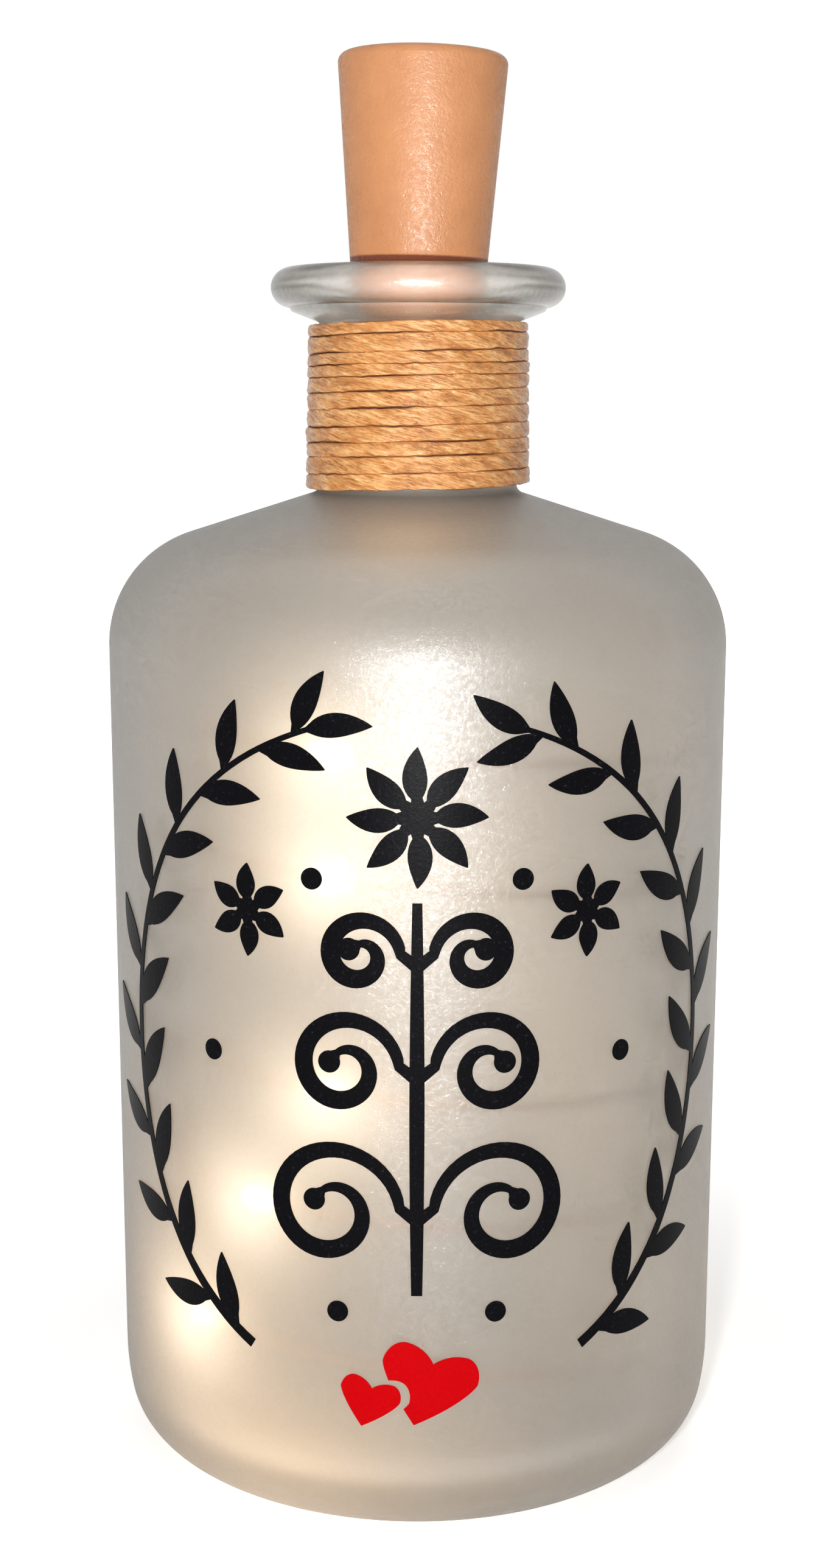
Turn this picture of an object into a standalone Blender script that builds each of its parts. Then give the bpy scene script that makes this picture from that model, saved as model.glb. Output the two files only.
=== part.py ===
"""Light-up bottle: a frosted glass bottle whose cork-shaped stopper is a battery light.

The stopper lifts out of the neck. Its core, with three button cells and a slide switch, pulls out
of the stopper's shell. A string of ten LED beads on copper wire lies coiled inside the glass.
Metres, +Z up. The origin is the centre of the base, and the decorated front faces -Y.
"""

import math

import bmesh
import bpy
from mathutils import Matrix, Vector

MM = 0.001

# Glass, outer surface, from the base up
PUNT_HEIGHT = 1.6 * MM
RING_INNER_R = 22.0 * MM
FOOT_R = 39.71 * MM
BODY_R = 40.1 * MM
HEEL_ARCS = ((33.0 * MM, 10.5), (8.0 * MM, 46.5), (17.0 * MM, 33.0))
SHOULDER_Z = 108.0 * MM
SHOULDER_ARC_R = 14.9 * MM
CONE_SLOPE = 17.75
NECK_FOOT_R = 12.75 * MM
NECK_FOOT_FILLET = 1.2 * MM
NECK_TOP_R = 12.4 * MM
NECK_TOP_Z = 148.0 * MM
LIP_FILLET = 1.2 * MM
LIP_CREASE = (16.16 * MM, 150.25 * MM)
LIP_ROLL_R = 2.45 * MM
LIP_ROLL_CENTRE = (16.34 * MM, 153.2 * MM)
GLASS_SEGMENTS = 40

# Glass, inner surface
WALL = 2.7 * MM
MOUTH_ROUND = 0.9 * MM
MOUTH_TOP_Z = 155.35 * MM
MOUTH_R = 9.05 * MM
BORE_R = 8.6 * MM
BORE_TAPER_END_Z = 139.0 * MM
INNER_CORNER_R = 2.5 * MM
INNER_FOOT_R = 37.2 * MM
INNER_HEEL_R = 9.0 * MM
FLOOR_EDGE_Z = 6.4 * MM
FLOOR_CENTRE_Z = 7.4 * MM

# Clearance kept between neighbouring pieces
GAP = 0.3 * MM

# Cord round the neck
TWINE_D = 1.38 * MM
TWINE_TURNS = 10 + 2 / 3
TWINE_PITCH = 1.825 * MM
TWINE_LOW_Z = 128.42 * MM
TWINE_START_ANGLE = 240.0
POINTS_PER_TURN = 24

# Vinyl decoration, drawn flat: s runs round the glass to the right, z up
VINYL_THICKNESS = 0.25 * MM
VINYL_TIP_HALF = 0.1 * MM
BRANCH = {"centre_z": 62.0 * MM, "half_width": 42.0 * MM, "half_height": 42.0 * MM, "span": (-60.0, 72.0),
          "stem_half": 0.65 * MM, "taper": 0.5, "leaf_pairs": 9, "leaf_root": 1.2 * MM,
          "leaf_shares": (0.03, 0.93), "stagger": 0.05}
LEAF = {"length": 9.8 * MM, "width": 3.6 * MM, "lean": 42.0, "bow": 0.05, "stations": 4}
STEM = {"foot_z": 34.0 * MM, "top_z": 82.0 * MM, "half": 0.9 * MM, "root": 1.8 * MM}
TENDRILS = ({"z": 43.0 * MM, "radius": 8.4 * MM, "turns": 1.35},
            {"z": 60.5 * MM, "radius": 6.6 * MM, "turns": 1.35},
            {"z": 74.0 * MM, "radius": 4.8 * MM, "turns": 1.3})
TENDRIL = {"first_step": (1.2 * MM, 1.0 * MM), "heading": 78.0, "shrink": 0.74, "steps_per_turn": 16,
           "thin_half": 0.4 * MM, "swell_half": 0.75 * MM, "ball_r": 1.35 * MM}
BLOSSOM_TOP = {"s": 0.0, "z": 92.0 * MM, "petals": 8, "core": 2.0 * MM, "petal": 6.4 * MM,
               "width": 2.9 * MM}
BLOSSOM_SIDE = {"s": 21.0 * MM, "z": 80.0 * MM, "petals": 6, "core": 1.4 * MM, "petal": 4.4 * MM,
                "width": 2.6 * MM}
DOTS = ((12.5, 84.5), (26.5, 62.0), (9.6, 31.6))
DOT_R = 1.3 * MM
HEART_LARGE = {"tip": (-0.33 * MM, 17.5 * MM), "width": 12.07 * MM, "lean": 17.0}
HEART_SMALL = {"tip": (-6.72 * MM, 17.15 * MM), "width": 7.52 * MM, "lean": 15.0}
HEART_SHAPE = {"side": 0.572, "top": 0.82, "lobe": 0.62, "lobe_r": 0.404, "centre": 0.45}
HEART_SLICES = 14
HEART_CUT_MARGIN = 1.05 * MM

# LED string
WIRE_D = 0.6 * MM
COIL_R = 35.0 * MM
COIL_START_ANGLE = 80.5
COIL_CHORDS = 123
COIL_HEIGHTS = ((80.5, 107.5), (343.0, 98.6), (703.0, 83.7), (1063.0, 57.4),
                (1408.0, 42.7), (1753.0, 25.4), (1925.5, 12.9))
LED_CHORDS = (17, 27, 41, 53, 65, 76, 88, 99, 111, 122)
LED_LENGTH = 5.5 * MM
LED_R = 1.7 * MM
LED_END_R = 0.95 * MM
LED_BORE_R = 0.6 * MM
LEAD_STEP = 1.6 * MM
LEAD_ROUTE = ((3.29, 0.0, 137.85), (3.21, 0.0, 133.6), (4.0, -0.8, 129.4), (6.8, -4.0, 124.2),
              (13.5, -10.5, 118.6), (22.5, -15.6, 113.2), (30.3, -14.2, 109.5), (33.5, -9.6, 108.0))

# Stopper: where its lower end stands, and how far it leans to the right
STOPPER_FOOT = (-0.29 * MM, 0.0, 138.82 * MM)
STOPPER_LEAN = 1.15

# Stopper, in heights above its own lower end
STOPPER_LENGTH = 43.0 * MM
STOPPER_FOOT_R = 7.38 * MM
STOPPER_HEAD_R = 10.7 * MM
STOPPER_CORNER_R = 1.55 * MM
CHAMBER_FOOT_R = 6.4 * MM
CHAMBER_TOP_R = 7.1 * MM
PARTITION = (11.7 * MM, 13.3 * MM)
STOPPER_BORE_R = 7.4 * MM
RECESS_R = 8.95 * MM
RECESS_FLOOR = 40.2 * MM
SLOT_NEGATIVE = {"x": -2.6 * MM, "y": 0.0, "size": (0.9 * MM, 3.0 * MM)}
SLOT_POSITIVE = {"x": 0.0, "y": 5.2 * MM, "size": (2.2 * MM, 0.9 * MM)}
PLUG_R = 6.1 * MM
PLUG_SPAN = (0.35 * MM, 2.9 * MM)
WIRE_EXIT_X = 3.6 * MM
PLUG_HOLE_R = 1.2 * MM
GROMMET_FLANGE_R = 1.7 * MM
GROMMET_STEM_R = 0.9 * MM
GROMMET_SPAN = (-0.6 * MM, 0.05 * MM, 3.6 * MM)
INNER_WIRE_D = 0.5 * MM
CONTACT_THICKNESS = 0.3 * MM
CONTACT_BASE_Z = 13.6 * MM
CONTACT_LEG_END = 10.9 * MM
NEGATIVE_WIDTH = 2.4 * MM
POSITIVE_WIDTH = 1.6 * MM

# Battery core, in the same heights
CELL_R = 5.8 * MM
CELL_HEIGHT = 5.4 * MM
CELL_FOOT = 16.0 * MM
CELL_COUNT = 3
HOLDER_R = 7.0 * MM
HOLDER_INNER_R = 6.1 * MM
HOLDER_FLOOR = (14.3 * MM, 15.7 * MM)
HOLDER_TOP = 36.0 * MM
HOLDER_FLOOR_HOLE_R = 3.3 * MM
HOLDER_WINDOW = (15.9 * MM, 33.3 * MM)
HOLDER_SLOT_WIDTH = 2.8 * MM
TOP_CONTACT_R = 4.6 * MM
TOP_CONTACT_SPAN = (33.1 * MM, 33.5 * MM)
STRIP_Y = (6.15 * MM, 6.45 * MM)
STRIP_SPAN = (14.6 * MM, 35.0 * MM)
STRIP_WIDTH = 2.0 * MM
BOARD_R = 5.8 * MM
BOARD_SPAN = (34.6 * MM, 35.4 * MM)
HOUSING_SPAN = (35.7 * MM, 38.9 * MM)
HOUSING_HALF = (4.0 * MM, 1.8 * MM)
HOUSING_WALL = 0.5 * MM
CAP_R = 8.65 * MM
CAP_SPAN = (40.5 * MM, 42.8 * MM)
CAP_SKIRT = {"outer": 7.0 * MM, "inner": 6.0 * MM, "foot": 36.4 * MM}
CAP_SLOT_HALF = (3.3 * MM, 1.5 * MM)
NAIL_NOTCH_R = 1.3 * MM
NAIL_NOTCH_LENGTH = 5.0 * MM
SLIDER_REST_X = -1.0 * MM
SLIDER_KNOB_TOP = 42.4 * MM
ROUND_SEGMENTS = 28


# Scene and materials

def clear_scene():
    for old in list(bpy.data.objects):
        bpy.data.objects.remove(old, do_unlink=True)


def finish_of(name, colour, roughness, metallic=0.0, transmission=0.0):
    """A Principled material, made once for each name."""
    if name in bpy.data.materials:
        return bpy.data.materials[name]
    material = bpy.data.materials.new(name)
    material.use_nodes = True
    shader = material.node_tree.nodes["Principled BSDF"]
    shader.inputs["Base Color"].default_value = (*colour, 1.0)
    shader.inputs["Roughness"].default_value = roughness
    shader.inputs["Metallic"].default_value = metallic
    shader.inputs["Transmission Weight"].default_value = transmission
    material.diffuse_color = (*colour, 1.0)
    return material


def frosted_glass():
    return finish_of("frosted_glass", (0.80, 0.77, 0.72), 0.45, transmission=0.9)


def paper_cord():
    return finish_of("paper_cord", (0.58, 0.33, 0.12), 0.8)


def black_vinyl():
    return finish_of("black_vinyl", (0.012, 0.012, 0.014), 0.45)


def red_vinyl():
    return finish_of("red_vinyl", (0.80, 0.01, 0.015), 0.4)


def copper():
    return finish_of("copper", (0.72, 0.38, 0.22), 0.3, metallic=1.0)


def led_resin():
    return finish_of("led_resin", (1.0, 0.83, 0.55), 0.15, transmission=0.6)


def cork_plastic():
    return finish_of("cork_plastic", (0.72, 0.34, 0.18), 0.45)


def dark_plastic():
    return finish_of("dark_plastic", (0.03, 0.03, 0.032), 0.5)


def silicone():
    return finish_of("silicone", (0.75, 0.74, 0.70), 0.6)


def spring_brass():
    return finish_of("spring_brass", (0.78, 0.60, 0.30), 0.3, metallic=1.0)


def cell_steel():
    return finish_of("cell_steel", (0.72, 0.72, 0.73), 0.25, metallic=1.0)


def board_green():
    return finish_of("board_green", (0.02, 0.22, 0.09), 0.5)


def resistor_body():
    return finish_of("resistor_body", (0.62, 0.52, 0.36), 0.5)


# Placing and mesh helpers

def empty_at(name, location, parent=None, lean=0.0):
    """An empty that stands on a joint's axis and carries the pieces that move on it."""
    empty = bpy.data.objects.new(name, None)
    bpy.context.scene.collection.objects.link(empty)
    empty.location = location
    empty.rotation_euler = (0.0, math.radians(lean), 0.0)
    empty.parent = parent
    return empty


def mesh_object(name, bm, material, parent=None, smooth=True):
    """Turns the bmesh into a named object whose faces point out."""
    bmesh.ops.recalc_face_normals(bm, faces=bm.faces)
    if bm.calc_volume(signed=True) < 0:
        bmesh.ops.reverse_faces(bm, faces=bm.faces)
    mesh = bpy.data.meshes.new(name)
    bm.to_mesh(mesh)
    bm.free()
    mesh.materials.append(material)
    if smooth:
        mesh.shade_smooth()
        mesh.set_sharp_from_angle(angle=math.radians(35))
    obj = bpy.data.objects.new(name, mesh)
    bpy.context.scene.collection.objects.link(obj)
    obj.parent = parent
    return obj


def arc(centre, radius, start, end, steps):
    """Points of an arc in the (r, z) plane, with angles in degrees from +r towards +z."""
    angles = [math.radians(start + (end - start) * i / steps) for i in range(steps + 1)]
    return [(centre[0] + radius * math.cos(a), centre[1] + radius * math.sin(a)) for a in angles]


def turned(outline, segments=ROUND_SEGMENTS):
    """Spins a half section round Z. Ends on the axis close there, and a ring's outline closes itself."""
    bm = bmesh.new()
    on_axis = outline[0][0] == 0.0 and outline[-1][0] == 0.0
    verts = [bm.verts.new((r, 0.0, z)) for r, z in outline]
    pairs = list(zip(verts, verts[1:]))
    if not on_axis:
        pairs.append((verts[-1], verts[0]))
    edges = [bm.edges.new(pair) for pair in pairs]
    bmesh.ops.spin(bm, geom=verts + edges, axis=(0, 0, 1), cent=(0, 0, 0), steps=segments,
                   angle=2 * math.pi, use_merge=False)
    bmesh.ops.remove_doubles(bm, verts=bm.verts, dist=1e-6)
    return bm


def box(low, high):
    bm = bmesh.new()
    bmesh.ops.create_cube(bm, size=1.0)
    size = Vector(high) - Vector(low)
    place = Matrix.Translation((Vector(high) + Vector(low)) / 2) @ Matrix.Diagonal((*size, 1.0))
    bmesh.ops.transform(bm, matrix=place, verts=bm.verts)
    return bm


def stacked(sections):
    """Joins level rectangles in turn into one solid: each is (z, half x, half y, centre x)."""
    bm = bmesh.new()
    loops = []
    for z, half_x, half_y, centre_x in sections:
        corners = ((-1, -1), (1, -1), (1, 1), (-1, 1))
        loops.append([bm.verts.new((centre_x + i * half_x, j * half_y, z)) for i, j in corners])
    for low, high in zip(loops, loops[1:]):
        for i in range(4):
            bm.faces.new((low[i], low[i - 3], high[i - 3], high[i]))
    bm.faces.new(loops[0])
    bm.faces.new(loops[-1])
    return bm


def bent_strip(outline, width, across):
    """Extrudes a side view by width, centred, along the axis named by across: 'x' or 'y'."""
    bm = bmesh.new()
    if across == "y":
        verts = [bm.verts.new((u, -width / 2, z)) for u, z in outline]
    else:
        verts = [bm.verts.new((-width / 2, u, z)) for u, z in outline]
    face = bm.faces.new(verts)
    made = bmesh.ops.extrude_face_region(bm, geom=[face])["geom"]
    step = Vector((0, width, 0)) if across == "y" else Vector((width, 0, 0))
    bmesh.ops.translate(bm, verts=[v for v in made if isinstance(v, bmesh.types.BMVert)], vec=step)
    return bm


def subtract(target, cutter):
    """Cuts a hidden, wire-drawn cutter out of the target."""
    cutter.hide_render = True
    cutter.display_type = "WIRE"
    modifier = target.modifiers.new(cutter.name, "BOOLEAN")
    modifier.operation = "DIFFERENCE"
    modifier.solver = "EXACT"
    modifier.object = cutter


def cut(target, bm, name, parent=None):
    subtract(target, mesh_object(name, bm, cork_plastic(), parent, smooth=False))


def tube(name, points, diameter, material, resolution, parent=None):
    """A round tube along points, with filled ends."""
    curve = bpy.data.curves.new(name, "CURVE")
    curve.dimensions = "3D"
    spline = curve.splines.new("POLY")
    spline.points.add(len(points) - 1)
    for target, point in zip(spline.points, points):
        target.co = (*point, 1.0)
    curve.bevel_depth = diameter / 2
    curve.bevel_resolution = resolution
    curve.use_fill_caps = True
    curve.materials.append(material)
    obj = bpy.data.objects.new(name, curve)
    bpy.context.scene.collection.objects.link(obj)
    obj.parent = parent
    return obj


def least_gap(points, diameter, apart):
    """Least clear distance between stretches of a tube that are at least apart points from each other."""
    fine = []
    for a, b in zip(points, points[1:]):
        fine += [a.lerp(b, k / 4) for k in range(4)]
    steps = apart * 4
    spread = min((fine[i] - fine[j]).length for i in range(len(fine)) for j in range(i + steps, len(fine)))
    return spread - diameter


def smooth_route(route, step):
    """Even points on a smooth curve through a few route points (Catmull-Rom)."""
    ends = [route[0] * 2 - route[1], *route, route[-1] * 2 - route[-2]]
    dense = []
    for p0, p1, p2, p3 in zip(ends, ends[1:], ends[2:], ends[3:]):
        for k in range(20):
            t = k / 20
            dense.append(0.5 * (2 * p1 + (p2 - p0) * t + (2 * p0 - 5 * p1 + 4 * p2 - p3) * t ** 2
                                + (3 * p1 - p0 - 3 * p2 + p3) * t ** 3))
    dense.append(route[-1])
    length = sum((b - a).length for a, b in zip(dense, dense[1:]))
    count = max(2, round(length / step))
    points, run, target = [dense[0]], 0.0, length / count
    for a, b in zip(dense, dense[1:]):
        run += (b - a).length
        if run >= target * len(points) and len(points) < count:
            points.append(b)
    return [*points, dense[-1]]


# Bottle

def chained_arcs(start, arcs, steps):
    """Points of tangent arcs that leave start straight down and turn towards the axis."""
    angle = 0.0
    r, z = start
    points = [start]
    for radius, turn in arcs:
        for _ in range(steps):
            before = math.radians(angle)
            angle += turn / steps
            after = math.radians(angle)
            r -= radius * (math.cos(before) - math.cos(after))
            z -= radius * (math.sin(after) - math.sin(before))
            points.append((r, z))
    return points


def heel():
    """Outer heel from the resting ring up to the wall, with its lowest point on the ground."""
    points = chained_arcs((FOOT_R, 0.0), HEEL_ARCS, 3)
    drop = points[-1][1]
    return [(r, z - drop) for r, z in reversed(points)]


def glass_outline():
    """Half section of the glass, from the underside's centre round the outside to the floor's centre."""
    slope = math.radians(CONE_SLOPE)
    punt = [(RING_INNER_R * k / 3, PUNT_HEIGHT * (1 - (k / 3) ** 2)) for k in range(4)]
    shoulder_centre = (BODY_R - SHOULDER_ARC_R, SHOULDER_Z)
    shoulder = arc(shoulder_centre, SHOULDER_ARC_R, 0, 90 - CONE_SLOPE, 7)
    cone_r, cone_z = shoulder[-1]
    fillet_r = NECK_FOOT_R + NECK_FOOT_FILLET * (1 - math.sin(slope))
    fillet_z = cone_z + (cone_r - fillet_r) * math.tan(slope) + NECK_FOOT_FILLET * math.cos(slope)
    neck_foot = arc((NECK_FOOT_R + NECK_FOOT_FILLET, fillet_z), NECK_FOOT_FILLET, 270 - CONE_SLOPE, 180, 2)
    lip_fillet = arc((NECK_TOP_R + LIP_FILLET, NECK_TOP_Z), LIP_FILLET, 180, 123, 3)
    roll = arc(LIP_ROLL_CENTRE, LIP_ROLL_R, -86, 90, 7)
    mouth = arc((MOUTH_R + MOUTH_ROUND, MOUTH_TOP_Z - MOUTH_ROUND), MOUTH_ROUND, 90, 180, 2)
    inner_slope_z = cone_z + (cone_r - BORE_R) * math.tan(slope) - WALL / math.cos(slope)
    corner_r = BORE_R + INNER_CORNER_R
    corner_z = inner_slope_z + INNER_CORNER_R / math.cos(slope) - INNER_CORNER_R * math.tan(slope)
    corner = arc((corner_r, corner_z), INNER_CORNER_R, 180, 270 - CONE_SLOPE, 3)
    inner_shoulder = arc(shoulder_centre, SHOULDER_ARC_R - WALL, 90 - CONE_SLOPE, 0, 5)
    inner_heel = arc((INNER_FOOT_R - INNER_HEEL_R, FLOOR_EDGE_Z + INNER_HEEL_R), INNER_HEEL_R, 0, -90, 4)
    return [*punt, *heel(), *shoulder, *neck_foot, *lip_fillet, LIP_CREASE, *roll, *mouth,
            (BORE_R, BORE_TAPER_END_Z), *corner, *inner_shoulder, *inner_heel, (0.0, FLOOR_CENTRE_Z)]


def build_glass():
    mesh_object("glass_bottle", turned(glass_outline(), GLASS_SEGMENTS), frosted_glass())


def build_twine():
    """Cord wound up the slightly tapered neck. Its ends run straight off the winding at the back."""
    turns = round(TWINE_TURNS * POINTS_PER_TURN)
    points = []
    for i in range(turns + 1):
        share = i / turns
        angle = math.radians(TWINE_START_ANGLE + 360 * i / POINTS_PER_TURN)
        neck_r = NECK_FOOT_R + (NECK_TOP_R - NECK_FOOT_R) * share
        r = (neck_r + GAP + TWINE_D / 2) / math.cos(math.pi / POINTS_PER_TURN)
        z = TWINE_LOW_Z + TWINE_PITCH * i / POINTS_PER_TURN
        points.append(Vector((r * math.sin(angle), -r * math.cos(angle), z)))
    first = points[0] + (points[0] - points[1]).normalized() * TWINE_D
    last = points[-1] + (points[-1] - points[-2]).normalized() * TWINE_D
    points = [first, *points, last]
    print("neck_twine least gap to itself, mm:", round(least_gap(points, TWINE_D, 12) / MM, 3))
    tube("neck_twine", points, TWINE_D, paper_cord(), 1)


# Vinyl decoration

def glass_r(z):
    """Outer radius of the nearly straight wall at a height."""
    return FOOT_R + (BODY_R - FOOT_R) * z / SHOULDER_Z


def vinyl_object(name, bm, material, lift=GAP, thickness=VINYL_THICKNESS):
    """Thickens a flat drawing and lays it round the glass, lift above its surface."""
    bmesh.ops.poke(bm, faces=[face for face in bm.faces if len(face.verts) > 4])
    made = bmesh.ops.extrude_face_region(bm, geom=bm.faces[:])["geom"]
    upper = {v for v in made if isinstance(v, bmesh.types.BMVert)}
    for vert in bm.verts:
        r = glass_r(vert.co.y) + lift + (thickness if vert in upper else 0.0)
        angle = vert.co.x / BODY_R
        vert.co = (r * math.sin(angle), -r * math.cos(angle), vert.co.y)
    bmesh.ops.triangulate(bm, faces=bm.faces[:])
    return mesh_object(name, bm, material, smooth=False)


def add_strip(bm, stations, root=None):
    """Draws a strip of quads through pairs of points, from a root pair where one is already drawn."""
    rows = [root] if root else []
    rows += [[bm.verts.new((s, z, 0.0)) for s, z in pair] for pair in stations]
    for a, b in zip(rows, rows[1:]):
        bm.faces.new((a[0], a[1], b[1], b[0]))
    return rows


def stations_along(line, half_width):
    """Edge pairs along a drawn line, right edge first. half_width takes the share of the way along."""
    stations = []
    for i, point in enumerate(line):
        ahead, behind = line[min(i + 1, len(line) - 1)], line[max(i - 1, 0)]
        along = (ahead - behind).normalized()
        side = Vector((along.y, -along.x)) * max(half_width(i / (len(line) - 1)), VINYL_TIP_HALF)
        stations.append((point + side, point - side))
    return stations


def pointing(heading):
    """Unit vector in the drawing at an angle in radians from +s towards +z."""
    return Vector((math.cos(heading), math.sin(heading)))


def add_leaf(bm, root, heading, length, width):
    """Draws a pointed leaf that grows from the root pair of corners, right corner first."""
    start = (root[0].co.xy + root[1].co.xy) / 2
    along = pointing(heading)
    bow = Vector((-along.y, along.x)) * length * LEAF["bow"]
    shares = [k / LEAF["stations"] for k in range(LEAF["stations"] + 1)]
    line = [start + along * length * share + bow * math.sin(math.pi * share) for share in shares]
    leaf = stations_along(line, lambda t: width / 2 * math.sin(math.pi * t ** 0.8) ** 0.8)
    add_strip(bm, leaf[1:], root)


def build_branch(name, side):
    """Leafy branch that frames the front, on the right for side 1 and on the left for side -1."""
    bm = bmesh.new()
    low, high = BRANCH["span"]

    def spot(share):
        u = math.radians(low + (high - low) * share)
        height = BRANCH["centre_z"] + BRANCH["half_height"] * math.sin(u)
        return Vector((side * BRANCH["half_width"] * math.cos(u), height))

    def heading_at(share):
        along = spot(share) - spot(share - 0.01)
        return math.atan2(along.y, along.x)

    length = sum((spot((k + 1) / 50) - spot(k / 50)).length for k in range(50))
    root_share = BRANCH["leaf_root"] / length
    first, last = BRANCH["leaf_shares"]
    leaves = []
    for k in range(BRANCH["leaf_pairs"]):
        share = first + (last - first) * k / (BRANCH["leaf_pairs"] - 1)
        leaves += [(share, -1), (share + BRANCH["stagger"], 1)]
    shares = sorted([0.0, 1.0] + [s for share, _ in leaves for s in (share, share + root_share)])
    line = [spot(share) for share in shares]
    rows = add_strip(bm, stations_along(line, lambda t: BRANCH["stem_half"] * (1 - BRANCH["taper"] * t)))
    for share, hand in leaves:
        near = rows[shares.index(share)]
        far = rows[shares.index(share) + 1]
        heading = heading_at(share) + hand * math.radians(LEAF["lean"])
        scale = 1 - 0.35 * abs(share - 0.4)
        root = (far[1], near[1]) if hand > 0 else (near[0], far[0])
        add_leaf(bm, root, heading, LEAF["length"] * scale, LEAF["width"] * scale)
    add_leaf(bm, rows[-1], heading_at(1.0), LEAF["length"] * 0.8, LEAF["width"] * 0.8)
    vinyl_object(name, bm, black_vinyl())


def add_tendril(bm, root, side, radius, turns):
    """Draws a tendril that leaves its root nearly upright, curls away from the stem and ends in a ball."""
    steps = round(turns * TENDRIL["steps_per_turn"])
    turn = 2 * math.pi / TENDRIL["steps_per_turn"]
    heading = math.radians(90 - side * (90 - TENDRIL["heading"]))
    start = (root[0].co.xy + root[1].co.xy) / 2
    out, up = TENDRIL["first_step"]
    line = [start, start + Vector((side * out, up))]
    for k in range(steps):
        line.append(line[-1] + pointing(heading) * turn * radius * (1 - TENDRIL["shrink"] * k / steps))
        heading -= side * turn
    thin, swell, ball_r = TENDRIL["thin_half"], TENDRIL["swell_half"], TENDRIL["ball_r"]
    body = stations_along(line, lambda t: thin + swell * math.sin(math.pi * min(1.0, 0.1 + 0.9 * t)))
    centre = line[-1] + pointing(heading) * ball_r
    ball = []
    for degrees in (145, 110, 75, 40, 12):
        a = math.radians(degrees)
        middle = centre + pointing(heading) * ball_r * math.cos(a)
        half = pointing(heading - math.pi / 2) * ball_r * math.sin(a)
        ball.append((middle + half, middle - half))
    add_strip(bm, [*body[1:-1], *ball], root)


def build_scroll():
    """Upright stem with three pairs of curling tendrils."""
    bm = bmesh.new()
    heights = {STEM["foot_z"], STEM["top_z"], (STEM["foot_z"] + TENDRILS[0]["z"]) / 2}
    for tendril in TENDRILS:
        heights |= {tendril["z"], tendril["z"] + STEM["root"]}
    heights = sorted(heights)
    line = [Vector((0.0, z)) for z in heights]
    half = STEM["half"]
    rows = add_strip(bm, stations_along(line, lambda t: half * (0.5 + 0.5 * math.sin(0.5 + 2.35 * t))))
    for tendril in TENDRILS:
        low = rows[heights.index(tendril["z"])]
        high = rows[heights.index(tendril["z"]) + 1]
        add_tendril(bm, (low[0], high[0]), 1, tendril["radius"], tendril["turns"])
        add_tendril(bm, (high[1], low[1]), -1, tendril["radius"], tendril["turns"])
    vinyl_object("vinyl_scroll", bm, black_vinyl())


def build_blossom(name, blossom, side=1):
    """Round blossom: a core with a petal on each of its sides."""
    bm = bmesh.new()
    count = blossom["petals"]
    centre = Vector((side * blossom["s"], blossom["z"]))
    corners = []
    for k in range(count):
        corner = centre + pointing(2 * math.pi * (k - 0.5) / count + math.pi / 2) * blossom["core"]
        corners.append(bm.verts.new((*corner, 0.0)))
    bm.faces.new(corners)
    for k in range(count):
        heading = 2 * math.pi * k / count + math.pi / 2
        add_leaf(bm, (corners[k], corners[(k + 1) % count]), heading, blossom["petal"], blossom["width"])
    vinyl_object(name, bm, black_vinyl())


def build_dots():
    """Single round dots, in pairs left and right."""
    number = 0
    for s, z in DOTS:
        for side in (-1, 1):
            number += 1
            bm = bmesh.new()
            bmesh.ops.create_circle(bm, cap_ends=True, segments=10, radius=DOT_R,
                                    matrix=Matrix.Translation((side * s * MM, z * MM, 0.0)))
            vinyl_object(f"vinyl_dot_{number}", bm, black_vinyl())


def heart_edges(u):
    """Lower and upper edge of a heart one unit wide, tip at zero, at a share u of the way out to a side."""
    side, top, lobe, lobe_r = (HEART_SHAPE[key] for key in ("side", "top", "lobe", "lobe_r"))
    lower = side * (1 - (1 - u) ** 0.75)
    if u < lobe:
        upper = top - lobe_r + math.sqrt(lobe_r ** 2 - ((lobe - u) / 2) ** 2)
    else:
        upper = side + (top - side) * math.sqrt(1 - ((u - lobe) / (1 - lobe)) ** 2)
    return lower, upper


def heart_stations(heart, grow=0.0):
    """Lower and upper edge points of a leaning heart, slice by slice. grow widens it all round."""
    s, z = heart["tip"]
    upright = HEART_SHAPE["centre"]
    place = Matrix.Translation((s, z, 0)) @ Matrix.Rotation(math.radians(-heart["lean"]), 4, "Z")
    place @= Matrix.Translation((0, upright * heart["width"], 0))
    width = heart["width"] + 2 * grow
    stations = []
    for k in range(HEART_SLICES + 1):
        u = 0.998 * math.sin(math.pi / 2 * (2 * k / HEART_SLICES - 1))
        edges = [Vector((u / 2, v - upright, 0)) * width for v in heart_edges(abs(u))]
        stations.append([(place @ point).xy for point in edges])
    return stations


def build_hearts():
    """Small heart in front of a large one, which is cut back round it."""
    small = bmesh.new()
    add_strip(small, heart_stations(HEART_SMALL))
    vinyl_object("vinyl_heart_small", small, red_vinyl())
    large = bmesh.new()
    add_strip(large, heart_stations(HEART_LARGE))
    heart = vinyl_object("vinyl_heart_large", large, red_vinyl())
    grown = bmesh.new()
    add_strip(grown, heart_stations(HEART_SMALL, HEART_CUT_MARGIN))
    cutter = vinyl_object("heart_cutter", grown, red_vinyl(), GAP / 2, VINYL_THICKNESS + GAP)
    subtract(heart, cutter)


# LED string

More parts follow.
